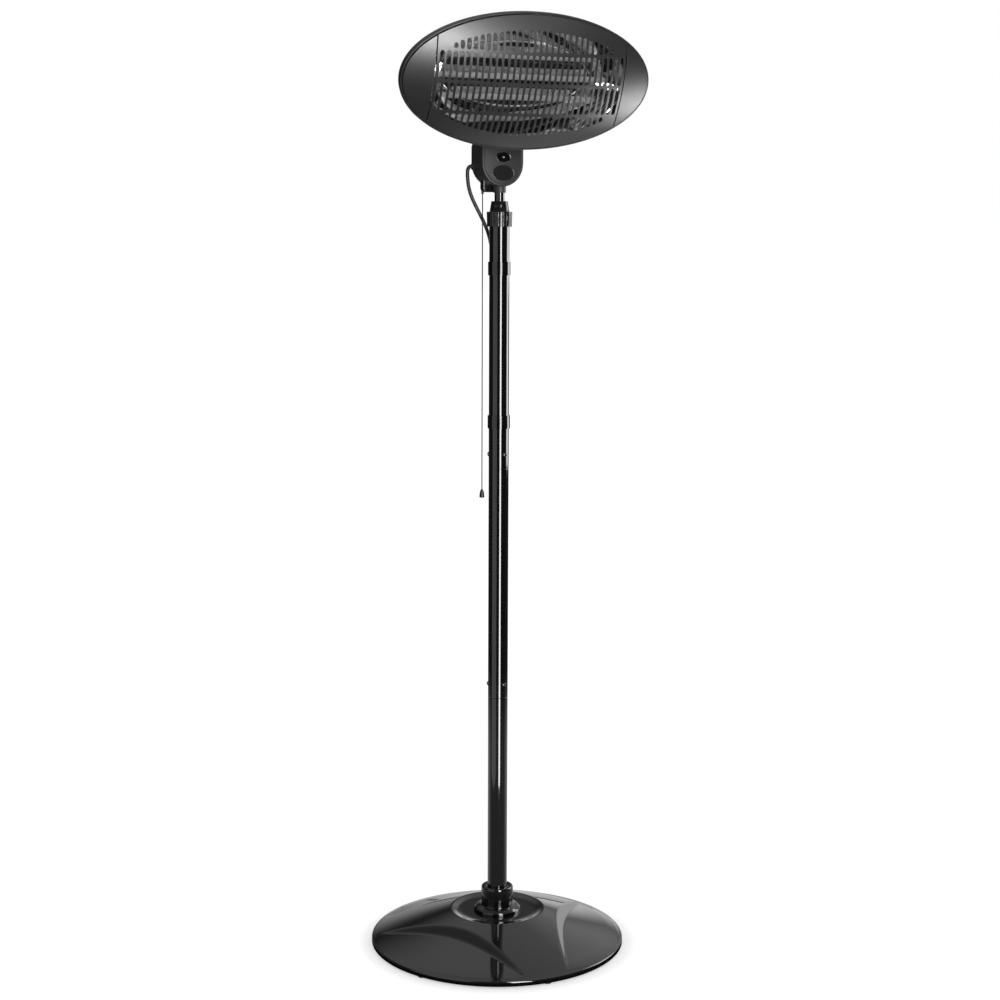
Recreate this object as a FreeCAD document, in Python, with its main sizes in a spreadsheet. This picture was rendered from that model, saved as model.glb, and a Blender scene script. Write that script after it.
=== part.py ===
import FreeCAD
import Part
import Sketcher
import math
import os
from types import SimpleNamespace

# Free-standing electric patio heater: a swirl-pressed round base, a three-piece pole, a telescopic mast
# with a twist-lock collar, a switch housing and a tilting oval head.
# Millimetres, origin on the floor under the pole, +Z up, the head looks along -Y.

SIZES = {
    # Fits
    "running_gap": 0.35,
    "seat_gap": 0.2,
    "overrun": 5,
    # Base
    "base_radius": 246,
    "base_sheet": 1.8,
    "rim_lift": 3,
    "rim_rise": 7,
    "rim_bevel": 3,
    "rim_flange": 22,
    "shoulder_radius": 92,
    "shoulder_height": 66,
    "dish_radius": 78,
    "dish_height": 62,
    "dome_arc": 1400,
    "petal_count": 3,
    "petal_turn": 87,
    "petal_reach": 117,
    "petal_edge_height": 59,
    "petal_slope": 49,
    "petal_drop": 16,
    "petal_run": 60,
    "petal_end_inset": 14,
    "petal_end_height": 17.6,
    "foot_count": 6,
    "foot_turn": 27,
    "foot_radius": 8,
    "foot_stud_radius": 3,
    "foot_stud_rise": 5,
    "weight_inset": 55,
    "weight_boss_radius": 62,
    "weight_bottom": 14,
    "weight_air": 3,
    "weight_bore": 9,
    # Pole foot
    "flange_radius": 40,
    "flange_plate": 3,
    "flange_spigot_height": 34,
    "flange_bolt_circle": 29,
    "flange_bolt_radius": 3,
    "flange_bolt_length": 34,
    "bolt_head_radius": 5,
    "bolt_head_height": 3.6,
    "bolt_count": 3,
    "cover_radius": 45.5,
    "cover_brim_height": 6,
    "cover_step": 4.5,
    "cover_step_height": 10,
    "cover_sleeve_radius": 31,
    "cover_height": 50,
    "cover_wall": 2.4,
    "cover_edge": 3,
    # Pole
    "pole_radius": 19,
    "pole_wall": 1.2,
    "lower_tube_length": 426,
    "middle_tube_length": 446,
    "upper_tube_length": 463,
    "spigot_length": 60,
    "swage_length": 3,
    "screw_height": 27,
    "screw_turn": 42,
    "screw_count": 3,
    "screw_radius": 2,
    "screw_head_radius": 4,
    "screw_head_height": 2.2,
    "screw_grip": 6,
    # Cord clips
    "lower_clip_rise": 76,
    "upper_clip_rise": 364,
    "clip_height": 25,
    "clip_wall": 2.2,
    "clip_hook_wall": 1.8,
    "clip_web": 5,
    "clip_slit": 5,
    "lead_line": 28.5,
    "lead_radius": 3.5,
    "lead_gap": 0.7,
    # Twist lock
    "collet_plug_length": 30,
    "collet_brim": 3,
    "collet_thread_height": 13,
    "collet_thread_inset": 1,
    "collet_root_inset": 3.4,
    "collet_tip_inset": 6.3,
    "collet_cone_height": 18,
    "collet_slit": 1.6,
    "collar_overlap": 9,
    "collar_radius": 23.2,
    "collar_flare": 0.8,
    "collar_grip_height": 27.5,
    "collar_nose_height": 19.5,
    "collar_nose_radius": 18.5,
    "collar_tip_radius": 15.5,
    "collar_lid": 2.6,
    "collar_flutes": 18,
    "flute_radius": 2.6,
    "flute_depth": 0.7,
    # Mast
    "inner_radius": 9.5,
    "inner_wall": 1.2,
    "inner_tube_length": 450,
    "mast_gap": 15.5,
    "guide_height": 30,
    "guide_lip": 8,
    "neck_radius": 12,
    "neck_height": 11,
    "neck_length": 46,
    "socket_depth": 34,
    # Switch housing
    "housing_half_width": 43,
    "housing_height": 82.5,
    "housing_corner": 10,
    "housing_front_depth": 14.4,
    "housing_rear_depth": 34,
    "housing_split": 8,
    "housing_wall": 2.2,
    "housing_edge": 3,
    "face_rise": 1.4,
    "face_border": 5,
    "lobe_left": 29,
    "lobe_right": 16,
    "lobe_drop": 10,
    "lobe_depth": 17,
    "lobe_corner": 8,
    "lens_half_width": 14.5,
    "lens_half_height": 8,
    "lens_rise": 54,
    "lens_proud": 0.6,
    "lens_lip": 1.5,
    "badge_half_width": 23,
    "badge_half_height": 14,
    "badge_rise": 25,
    "badge_thickness": 1.8,
    "badge_seat": 0.8,
    "housing_screw_spread": 28,
    "housing_screw_rise": 66,
    # Pull switch
    "pull_x": 25,
    "pull_y": 21,
    "pull_cord_radius": 1,
    "pull_cord_length": 612,
    "pull_bell_height": 16,
    "pull_bell_radius": 4.8,
    "pull_bell_neck": 2.2,
    "pull_clear": 0.4,
    "guide_bush_radius": 2.6,
    "guide_bush_height": 7,
    "switch_width": 16,
    "switch_height": 24,
    "switch_bottom": 22.9,
    "switch_depth": 18,
    # Mains lead
    "gland_y": 26,
    "gland_rise": 37.5,
    "gland_brim": 7,
    "gland_brim_height": 0.8,
    "gland_tip": 5,
    "gland_length": 1.2,
    "lead_tail": 296,
    "hank_turn": 63.5,
    "hank_inner": 29,
    "hank_fold_radius": 21,
    "hank_run": 110,
    "hank_drop": 35,
    "hank_pitch": 8,
    "hank_waist": 13,
    "tie_width": 12,
    "tie_wall": 1.5,
    "tie_corner": 4,
    "tie_gap": 0.8,
    "plug_line": 42,
    "plug_drop": 60,
    "plug_radius": 16,
    "plug_neck_radius": 5.5,
    "plug_neck_length": 18,
    "plug_length": 54,
    "plug_pin_radius": 2.4,
    "plug_pin_length": 19,
    "plug_pin_spread": 9.5,
    # Tilt hinge
    "yoke_height": 78,
    "yoke_half_width": 19,
    "yoke_sheet": 3,
    "yoke_arm": 12,
    "tilt_y": 6,
    "hinge_radius": 4,
    "lug_gap": 1,
    "lug_sheet": 3,
    "lug_radius": 11,
    "lug_rise": 45,
    "bracket_half_width": 32,
    "bracket_sheet": 3,
    "bracket_screw_rise": 36,
    "bracket_screw_spread": 24,
    "bolt_end": 13,
    "knob_radius": 13,
    "knob_thickness": 12,
    "knob_lobes": 5,
    "knob_scallop": 6,
    # Head
    "head_pitch": 18.5,
    "head_reach": 102,
    "head_rise": 60,
    "head_half_width": 250,
    "head_half_height": 125,
    "shell_depth": 95,
    "shell_back": 80,
    "shell_wall": 2,
    "rim_wall": 4,
    "rim_front": 4,
    "rim_ledge": 6,
    "rim_bead": 1,
    "panel_crown": 23,
    "panel_skirt": 5.5,
    "panel_wall": 1.5,
    "cap_line": 190,
    "cap_gap": 1.8,
    "slot_pitch": 12,
    "slot_width": 7.6,
    "slot_end": 2.4,
    "slot_rows": 4,
    "slot_row_pitch": 55,
    "slot_web": 5,
    "slot_margin": 30,
    "slot_columns": 31,
    "reflector_sheet": 1,
    "reflector_depth": 56,
    "tub_side_inset": 50,
    "tub_top_inset": 21,
    "tub_side_taper": 50,
    "tub_top_taper": 44,
    "tube_radius": 5.5,
    "tube_wall": 1.1,
    "tube_pitch": 37.5,
    "tube_depth": 32,
    "tube_seat": 8,
    "coil_radius": 3.4,
    "coil_wall": 0.8,
    "holder_inset": 66,
    "holder_thickness": 14,
    "holder_depth": 24,
    "holder_half_height": 54,
    "holder_leg": 8,
}

CROSS = 4
FULL_TURN = 360
HALF_TURN = 180
QUARTER_TURN = 90
ROUTE_ARC_SHARE = 0.45
TUBE_ROWS = {"top": 1, "middle": 0, "bottom": -1}
SIDES = {"left": -1, "right": 1}

# The mains lead leaves the gland, turns down beside the housing and runs behind the pole.
# Shares of the gland's distance from the axis, of the way back to the lead's line, and of the drop to the clip.
LEAD_SHARES = [
    (1.0, 0, 0),
    (1.0769, 0, 0),
    (1.1561, 0, 0.0114),
    (1.2081, 0, 0.0364),
    (1.2217, 0, 0.0767),
    (1.2059, 0, 0.1420),
    (1.1584, 0.08, 0.2244),
    (1.0226, 0.32, 0.3182),
    (0.7828, 0.8, 0.4261),
    (0.4932, 1.44, 0.5426),
    (0.2172, 1.84, 0.6733),
    (0.0407, 1.56, 0.8295),
    (0, 1, 1.0114),
]
STRAIGHT = 1e-9

doc = FreeCAD.newDocument("patio_heater")
sheet = doc.addObject("Spreadsheet::Sheet", "dims")


class Size:
    """A number together with the sheet formula that gives it."""

    def __init__(self, value, formula):
        self.value = float(value)
        self.formula = formula

    def __add__(self, other):
        other = as_size(other)
        return Size(self.value + other.value, f"({self.formula} + {other.formula})")

    def __sub__(self, other):
        other = as_size(other)
        return Size(self.value - other.value, f"({self.formula} - {other.formula})")

    def __mul__(self, other):
        other = as_size(other)
        return Size(self.value * other.value, f"({self.formula} * {other.formula})")

    def __truediv__(self, other):
        other = as_size(other)
        return Size(self.value / other.value, f"({self.formula} / {other.formula})")

    def __neg__(self):
        return Size(-self.value, f"(0 - {self.formula})")

    def cosine(self):
        return Size(math.cos(math.radians(self.value)), f"cos({self.formula})")

    def sine(self):
        return Size(math.sin(math.radians(self.value)), f"sin({self.formula})")


def as_size(number):
    """A plain number as a size with a constant formula."""
    return number if isinstance(number, Size) else Size(number, f"({float(number)})")


def fill_sheet():
    """Write every driving size to the sheet and hand the sizes back by name."""
    for row, (alias, number) in enumerate(SIZES.items(), start=1):
        sheet.set(f"A{row}", alias)
        sheet.set(f"B{row}", str(number))
        sheet.setAlias(f"B{row}", alias)
    doc.recompute()
    return SimpleNamespace(**{alias: Size(sheet.get(alias), f"dims.{alias}") for alias in SIZES})


d = fill_sheet()

# Levels up the stand and the mast
pole_start = d.dish_height + d.flange_plate
lower_joint = pole_start + d.lower_tube_length
upper_joint = lower_joint + d.middle_tube_length
pole_top = upper_joint + d.upper_tube_length
collar_bottom = pole_top - d.collar_overlap
collar_step = collar_bottom + d.collar_grip_height
collar_top = collar_step + d.collar_nose_height
neck_bottom = collar_top + d.mast_gap
housing_bottom = neck_bottom + d.neck_height
housing_centre = housing_bottom + d.housing_half_width
housing_top = housing_bottom + d.housing_height
tilt_height = housing_top + d.yoke_height
gland_height = housing_bottom + d.gland_rise
upper_clip_top = upper_joint + d.upper_clip_rise + d.clip_height
lead_end = upper_joint + d.lower_clip_rise - d.lead_tail
hank_bottom = lead_end - d.hank_drop - d.hank_run
plug_top = hank_bottom - d.plug_drop

# Radii that neighbours share
pole_bore = d.pole_radius - d.pole_wall
spigot_radius = pole_bore - d.seat_gap
rim_top = d.rim_lift + d.rim_rise + d.rim_bevel
weight_radius = d.base_radius - d.weight_inset
petal_end = d.base_radius - d.petal_end_inset
valley_top = d.shoulder_height - d.petal_drop
valley_fall = (valley_top - d.petal_end_height) / (petal_end - d.shoulder_radius)
hook_radius = d.lead_radius + d.lead_gap
face_front = d.housing_front_depth + d.face_rise
panel_half_width = d.head_half_width - d.rim_wall - d.seat_gap
panel_half_height = d.head_half_height - d.rim_wall - d.seat_gap
lug_outer = d.yoke_half_width - d.yoke_sheet - d.lug_gap
rim_seat = d.seat_gap + d.reflector_sheet + d.seat_gap
holder_inner = d.head_half_width - d.holder_inset
tube_half_length = holder_inner + d.tube_seat


def vector(x, y, z=0):
    """A FreeCAD vector from sizes or numbers."""
    return FreeCAD.Vector(as_size(x).value, as_size(y).value, as_size(z).value)


def bind(item, **sizes):
    """Drive properties of an item by their sheet formulas."""
    for name, size in sizes.items():
        item.setExpression(name, as_size(size).formula)
    return item


def place(item, x=0, y=0, z=0, axis=None, angle=0):
    """Put an item at a point, turned about an axis through that point."""
    if axis:
        turn = FreeCAD.Rotation(FreeCAD.Vector(*axis), as_size(angle).value)
        item.Placement = FreeCAD.Placement(vector(x, y, z), turn)
    for letter, size in zip("xyz", (x, y, z)):
        item.setExpression(f"Placement.Base.{letter}", as_size(size).formula)
    return item


def on_head(item):
    """Carry an item from the head's rim plane to its pitched place on the tilt axis."""
    lean = d.head_pitch
    y = d.tilt_y - d.head_reach * lean.cosine() - d.head_rise * lean.sine()
    z = tilt_height - d.head_reach * lean.sine() + d.head_rise * lean.cosine()
    return place(item, 0, y, z, axis=(1, 0, 0), angle=lean)


def solid(kind, label, **sizes):
    """A Part primitive driven by the sheet."""
    return bind(doc.addObject(f"Part::{kind}", label), **sizes)


def rod(label, radius, low, high, x=0, y=0):
    """A vertical round bar between two levels."""
    return place(solid("Cylinder", label, Radius=radius, Height=high - low), x, y, low)


def block(label, low, high):
    """A box between two corners."""
    spans = [as_size(b) - a for a, b in zip(low, high)]
    box = solid("Box", label, Length=spans[0], Width=spans[1], Height=spans[2])
    return place(box, *low)


def cut(label, base, *tools):
    """Take tools away from a base."""
    result = doc.addObject("Part::Cut", label)
    result.Base = base
    result.Tool = tools[0] if len(tools) == 1 else fuse(f"{label}_tools", *tools)
    doc.recompute()
    return result


def fuse(label, *items):
    """Join items into one solid."""
    result = doc.addObject("Part::MultiFuse", label)
    result.Shapes = list(items)
    doc.recompute()
    return result


def common(label, base, tool):
    """Keep what two items share."""
    result = doc.addObject("Part::Common", label)
    result.Base = base
    result.Tool = tool
    doc.recompute()
    return result


def ring_of(label, item, count, turn):
    """Copies of an item spaced evenly about the Z axis, as one group of solids."""
    step = FULL_TURN / count.value
    origin = FreeCAD.Vector()
    up = FreeCAD.Vector(0, 0, 1)
    shapes = [item.Shape.rotated(origin, up, turn.value + step * i) for i in range(round(count.value))]
    return gather(label, shapes)


def gather(label, shapes):
    """Separate shapes in one node."""
    group = doc.addObject("Part::Feature", label)
    group.Shape = shapes[0] if len(shapes) == 1 else Part.makeCompound(shapes)
    return group


def sketch_on(body, role, start):
    """A sketch on one of a body's own planes, moved along the plane's normal."""
    sketch = body.newObject("Sketcher::SketchObject", f"{body.Name}_sketch")
    plane = next(item for item in body.Origin.OriginFeatures if item.Role == role)
    sketch.AttachmentSupport = [(plane, "")]
    sketch.MapMode = "FlatFace"
    bind(sketch, **{"AttachmentOffset.Base.z": start})
    return sketch


def arc_between(start, end, radius):
    """The short arc between two points, anticlockwise when the radius is positive."""
    if radius < 0:
        return arc_between(end, start, -radius)
    chord = end - start
    across = FreeCAD.Vector(-chord.y, chord.x, 0).normalize()
    half = chord.Length / 2
    centre = (start + end) / 2 + across * math.sqrt(max(radius**2 - half**2, 0))
    first = math.atan2(start.y - centre.y, start.x - centre.x)
    last = math.atan2(end.y - centre.y, end.x - centre.x)
    return Part.ArcOfCircle(Part.Circle(centre, FreeCAD.Vector(0, 0, 1), radius), first, last)


def outline(sketch, corners):
    """Close a loop through corners, each pinned to the sheet; a third entry bends the next side to a radius."""
    spots = [vector(corner[0], corner[1]) for corner in corners]
    ends = []
    for i, corner in enumerate(corners):
        start, end = spots[i], spots[(i + 1) % len(spots)]
        if len(corner) > 2:
            sketch.addGeometry(arc_between(start, end, as_size(corner[2]).value), False)
            ends.append((1, 2) if as_size(corner[2]).value > 0 else (2, 1))
        else:
            sketch.addGeometry(Part.LineSegment(start, end), False)
            ends.append((1, 2))
    for i, corner in enumerate(corners):
        after = (i + 1) % len(corners)
        sketch.addConstraint(Sketcher.Constraint("Coincident", i, ends[i][1], after, ends[after][0]))
        pin(sketch, "DistanceX", i, ends[i][0], corner[0], -2)
        pin(sketch, "DistanceY", i, ends[i][0], corner[1], -1)
        if len(corner) > 2:
            radius = as_size(corner[2])
            drive(sketch, Sketcher.Constraint("Radius", i, abs(radius.value)),
                  radius if radius.value > 0 else -radius)


def pin(sketch, kind, index, end, size, axis):
    """Hold one coordinate of a point, on the axis itself where the coordinate is zero."""
    if not isinstance(size, Size):
        sketch.addConstraint(Sketcher.Constraint("PointOnObject", index, end, axis))
        return
    drive(sketch, Sketcher.Constraint(kind, -1, 1, index, end, size.value), size)


def drive(sketch, constraint, size):
    """Add a constraint whose value follows the sheet."""
    number = sketch.addConstraint(constraint)
    sketch.setExpression(f"Constraints[{number}]", size.formula)


def turned(label, corners):
    """A body turned about the Z axis from a half section of radius and height."""
    body = doc.addObject("PartDesign::Body", label)
    sketch = sketch_on(body, "XZ_Plane", 0)
    outline(sketch, corners)
    spin = body.newObject("PartDesign::Revolution", f"{label}_spin")
    spin.Profile = sketch
    spin.ReferenceAxis = (sketch, ["V_Axis"])
    spin.Angle = FULL_TURN
    doc.recompute()
    return body


def padded(label, role, corners, start, depth):
    """A body raised from an outline, along the plane's normal from a start level."""
    body = doc.addObject("PartDesign::Body", label)
    sketch = sketch_on(body, role, start)
    outline(sketch, corners)
    pad = body.newObject("PartDesign::Pad", f"{label}_pad")
    pad.Profile = sketch
    bind(pad, Length=depth)
    doc.recompute()
    return body


def rounded(body, radius, wanted):
    """Round the edges of a body that a test picks out."""
    base = body.Tip
    names = [f"Edge{i}" for i, edge in enumerate(base.Shape.Edges, start=1) if wanted(edge.BoundBox)]
    fillet = body.newObject("PartDesign::Fillet", f"{body.Name}_round")
    fillet.Base = (base, names)
    bind(fillet, Radius=radius)
    doc.recompute()
    return body


def oval_prism(label, half_width, half_height, front, back, rise=0):
    """An upright oval bar between two depths along Y."""
    ellipse = solid("Ellipse", f"{label}_oval", MajorRadius=half_width, MinorRadius=half_height)
    place(ellipse, 0, front, rise, axis=(1, 0, 0), angle=-QUARTER_TURN)
    prism = doc.addObject("Part::Extrusion", label)
    prism.Base = ellipse
    prism.Dir = FreeCAD.Vector(0, 1, 0)
    prism.DirMode = "Custom"
    prism.Solid = True
    bind(prism, LengthFwd=as_size(back) - front)
    doc.recompute()
    return prism


def tube_section(radius, low, high, wall):
    """Half section of a plain tube."""
    return [(radius - wall, low), (radius, low), (radius, high), (radius - wall, high)]


def pressed_dome(label, inset):
    """The solid under the swirl-pressed sheet: a crowned dome cut down to a lower cone behind three facets."""
    side = d.base_radius - inset
    edge = side - d.rim_bevel
    floor = d.rim_lift + inset
    crown = turned(f"{label}_crown", [
        (0, floor), (side, floor), (side, d.rim_lift + d.rim_rise - inset),
        (edge, rim_top - inset, d.dome_arc - inset), (d.shoulder_radius, d.shoulder_height - inset),
        (d.dish_radius, d.dish_height - inset), (0, d.dish_height - inset),
    ])
    outside = side + d.overrun
    outside_height = valley_top - inset - valley_fall * (outside - d.shoulder_radius)
    valley = turned(f"{label}_valley", [
        (0, floor), (outside, floor), (outside, outside_height), (d.shoulder_radius, valley_top - inset),
        (0, valley_top - inset),
    ])
    wedge = solid("Box", f"{label}_wedge", Length=d.base_radius * 2, Width=d.base_radius * 2,
                  Height=d.shoulder_height)
    lean = FreeCAD.Rotation(FreeCAD.Vector(0, 1, 0), d.petal_slope.value)
    foot = vector(d.petal_reach, 0, d.petal_edge_height)
    shift = vector(-d.petal_run, -d.base_radius, -inset)
    wedge.Placement = FreeCAD.Placement(foot, lean) * FreeCAD.Placement(shift, FreeCAD.Rotation())
    doc.recompute()
    wedges = ring_of(f"{label}_wedges", wedge, d.petal_count, d.petal_turn)
    return cut(label, crown, cut(f"{label}_facets", wedges, valley))


def base_cover():
    """Pressed dome with an inward flange under its rim and a hole for the pole's bolts."""
    mouth = rod("base_mouth", d.base_radius - d.rim_flange, d.rim_lift - d.overrun,
                d.rim_lift + d.base_sheet + d.overrun)
    holes = ring_of("base_bolt_holes", bolt_bore("base_bolt_bore"), d.bolt_count, d.screw_turn)
    studs = ring_of("base_stud_holes", foot_bore(), d.foot_count, d.foot_turn)
    return cut("base_cover", pressed_dome("dome_outside", as_size(0)), pressed_dome("dome_inside", d.base_sheet),
               mouth, holes, studs)


def foot_place():
    """Distance of a foot from the pole's axis."""
    return d.base_radius - d.rim_flange / 2


def foot_bore():
    """Clearance hole for one foot's stud."""
    bore = rod("foot_bore", d.foot_stud_radius + d.seat_gap, 0, d.rim_lift + d.foot_stud_rise, foot_place())
    doc.recompute()
    return bore


def rubber_feet():
    """Soft pads under the rim, each with a stud through the flange."""
    foot = turned("rubber_foot", [
        (0, 0), (d.foot_radius, 0), (d.foot_radius, d.rim_lift), (d.foot_stud_radius, d.rim_lift),
        (d.foot_stud_radius, d.rim_lift + d.foot_stud_rise), (0, d.rim_lift + d.foot_stud_rise),
    ])
    place(foot, foot_place())
    doc.recompute()
    return ring_of("rubber_feet", foot, d.foot_count, d.foot_turn)


def base_weight():
    """Ballast disc drawn up under the dish by the pole's bolts."""
    ceiling = d.dish_height - d.base_sheet
    boss_foot = valley_top - d.base_sheet - d.weight_air
    edge_height = boss_foot - valley_fall * (weight_radius - d.shoulder_radius)
    disc = turned("weight_disc", [
        (d.weight_bore, d.weight_bottom), (weight_radius, d.weight_bottom), (weight_radius, edge_height),
        (d.shoulder_radius, boss_foot), (d.weight_boss_radius, boss_foot), (d.weight_boss_radius, ceiling),
        (d.weight_bore, ceiling),
    ])
    return cut("base_weight", disc, ring_of("weight_holes", bolt_bore("weight_bore_tool"), d.bolt_count, d.screw_turn))


def bolt_bore(label):
    """Clearance hole for one flange bolt."""
    low = pole_start - d.flange_bolt_length - d.overrun
    bore = rod(label, d.flange_bolt_radius + d.seat_gap, low, pole_start + d.overrun, d.flange_bolt_circle)
    doc.recompute()
    return bore


def pole_flange():
    """Steel foot with a spigot that the lower tube slides over."""
    spigot_top = pole_start + d.flange_spigot_height
    disc = turned("flange_disc", [
        (spigot_radius - d.pole_wall, d.dish_height), (d.flange_radius, d.dish_height),
        (d.flange_radius, pole_start), (spigot_radius, pole_start), (spigot_radius, spigot_top),
        (spigot_radius - d.pole_wall, spigot_top),
    ])
    return cut("pole_flange", disc, ring_of("flange_holes", bolt_bore("flange_bore_tool"), d.bolt_count, d.screw_turn))


def flange_bolts():
    """Bolts through the flange and the dome into the ballast."""
    head_top = pole_start + d.bolt_head_height
    bolt = turned("flange_bolt", [
        (0, pole_start - d.flange_bolt_length), (d.flange_bolt_radius, pole_start - d.flange_bolt_length),
        (d.flange_bolt_radius, pole_start), (d.bolt_head_radius, pole_start),
        (d.bolt_head_radius, head_top), (0, head_top),
    ])
    place(bolt, d.flange_bolt_circle)
    doc.recompute()
    return ring_of("flange_bolts", bolt, d.bolt_count, d.screw_turn)


def flange_cover():
    """Moulded hub cover: a stepped brim and a sleeve round the pole."""
    low = d.dish_height
    brim = low + d.cover_brim_height
    step = low + d.cover_step_height
    top = low + d.cover_height
    bore = d.pole_radius + d.seat_gap
    hollow = d.cover_radius - d.cover_wall
    shelf = step - d.cover_wall
    sleeve = d.cover_sleeve_radius - d.cover_wall
    return turned("flange_cover", [
        (hollow, low), (d.cover_radius, low), (d.cover_radius, brim), (d.cover_radius - d.cover_step, step),
        (d.cover_sleeve_radius, step), (d.cover_sleeve_radius, top - d.cover_edge, d.cover_edge),
        (d.cover_sleeve_radius - d.cover_edge, top), (bore, top), (bore, top - d.cover_wall),
        (sleeve, top - d.cover_wall), (sleeve, shelf), (hollow - d.cover_step, shelf),
        (hollow, brim - d.cover_wall),
    ])


def pole_tube(label, low, high, spigot):
    """One pole section; all but the top one end in a swaged spigot."""
    if not spigot:
        return turned(label, tube_section(d.pole_radius, low, high, d.pole_wall))
    neck = high - d.swage_length
    tip = high + d.spigot_length
    return turned(label, [
        (pole_bore, low), (d.pole_radius, low), (d.pole_radius, high), (spigot_radius, high),
        (spigot_radius, tip), (spigot_radius - d.pole_wall, tip),
        (spigot_radius - d.pole_wall, neck), (pole_bore, neck - d.swage_length),
    ])


def screw_at(label, joint, radius):
    """A radial bar through the wall at a joint's screw level."""
    bar = solid("Cylinder", label, Radius=radius, Height=d.screw_grip * 2)
    place(bar, pole_bore - d.screw_grip, 0, joint + d.screw_height, axis=(0, 1, 0), angle=QUARTER_TURN)
    doc.recompute()
    return bar


def screw_bores(label, joint):
    """Clearance holes for the three screws of one pole joint."""
    return ring_of(label, screw_at(f"{label}_tool", joint, d.screw_radius + d.seat_gap), d.screw_count, d.screw_turn)


def pole():
    """Three pole tubes, drilled where they overlap."""
    lower = pole_tube("lower_blank", pole_start, lower_joint, True)
    middle = pole_tube("middle_blank", lower_joint, upper_joint, True)
    upper = pole_tube("upper_blank", upper_joint, pole_top, False)
    return [
        cut("pole_lower", lower, screw_bores("pole_lower_holes", lower_joint)),
        cut("pole_middle", middle, screw_bores("pole_middle_holes", lower_joint),
            screw_bores("pole_middle_top_holes", upper_joint)),
        cut("pole_upper", upper, screw_bores("pole_upper_holes", upper_joint)),
    ]


def joint_screws(label, joint):
    """Three dome-headed screws round a pole joint."""
    seat = d.pole_radius + d.seat_gap
    tip = spigot_radius - d.screw_grip / 2
    head = d.screw_head_height
    screw = turned(f"{label}_screw", [
        (0, tip), (d.screw_radius, tip), (d.screw_radius, seat), (d.screw_head_radius, seat),
        (d.screw_head_radius, seat + head / 2), (d.screw_head_radius / 2, seat + head), (0, seat + head),
    ])
    place(screw, 0, 0, joint + d.screw_height, axis=(0, 1, 0), angle=QUARTER_TURN)
    doc.recompute()
    return ring_of(label, screw, d.screw_count, d.screw_turn)


def cord_clip(label, low):
    """Spring band on the pole with a hook behind it for the mains lead."""
    high = low + d.clip_height
    band = rod(f"{label}_band", d.pole_radius + d.clip_wall, low, high)
    hook = rod(f"{label}_hook", hook_radius + d.clip_hook_wall, low, high, 0, d.lead_line)
    half_web = d.clip_web / 2
    web = block(f"{label}_web", (-half_web, d.pole_radius, low), (half_web, d.lead_line, high))
    pole_hole = rod(f"{label}_pole_hole", d.pole_radius + d.seat_gap, low - d.overrun, high + d.overrun)
    lead_hole = rod(f"{label}_lead_hole", hook_radius, low - d.overrun, high + d.overrun, 0, d.lead_line)
    half_slit = d.clip_slit / 2
    reach = d.pole_radius * 2
    slit = block(f"{label}_slit", (d.clip_web, -half_slit, low - d.overrun), (reach, half_slit, high + d.overrun))
    snap = block(f"{label}_snap", (-half_slit, d.lead_line, low - d.overrun),
                 (half_slit, d.lead_line + reach, high + d.overrun))
    return cut(label, fuse(f"{label}_blank", band, hook, web), pole_hole, lead_hole, slit, snap)


def collet():
    """Split sleeve in the pole's top whose fingers close on the inner tube."""
    bore = d.inner_radius + d.running_gap
    brim_top = pole_top + d.collet_brim
    thread_top = brim_top + d.collet_thread_height
    tip = thread_top + d.collet_cone_height
    plug = pole_top - d.collet_plug_length
    sleeve = turned("collet_sleeve", [
        (bore, plug), (spigot_radius, plug), (spigot_radius, pole_top), (d.pole_radius, pole_top),
        (d.pole_radius, brim_top), (d.pole_radius - d.collet_thread_inset, brim_top),
        (d.pole_radius - d.collet_thread_inset, thread_top), (d.pole_radius - d.collet_root_inset, thread_top),
        (d.pole_radius - d.collet_tip_inset, tip), (bore, tip),
    ])
    half = d.collet_slit / 2
    slits = [
        block("collet_slit_x", (-d.pole_radius, -half, thread_top), (d.pole_radius, half, tip + d.overrun)),
        block("collet_slit_y", (-half, -d.pole_radius, thread_top), (half, d.pole_radius, tip + d.overrun)),
    ]
    return cut("collet", sleeve, *slits)


def lock_collar():
    """Fluted twist-lock nut with a tapered nose over the collet."""
    gap = d.running_gap
    thread_top = pole_top + d.collet_brim + d.collet_thread_height
    bore = d.pole_radius + gap
    root = d.pole_radius - d.collet_root_inset + gap
    lid = collar_top - d.collar_lid
    tip = d.pole_radius - d.collet_tip_inset + gap
    throat = d.inner_radius + gap
    nut = turned("collar_blank", [
        (bore, collar_bottom), (d.collar_radius, collar_bottom), (d.collar_radius + d.collar_flare, collar_step),
        (d.collar_nose_radius, collar_step), (d.collar_tip_radius, collar_top), (throat, collar_top),
        (throat, lid), (tip, lid), (root, thread_top + gap), (bore, thread_top + gap),
    ])
    flute = rod("collar_flute", d.flute_radius, collar_bottom - d.overrun, collar_step + d.overrun,
                d.collar_radius + d.flute_radius - d.flute_depth)
    doc.recompute()
    return cut("lock_collar", nut, ring_of("collar_flutes", flute, d.collar_flutes, as_size(0)))


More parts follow.
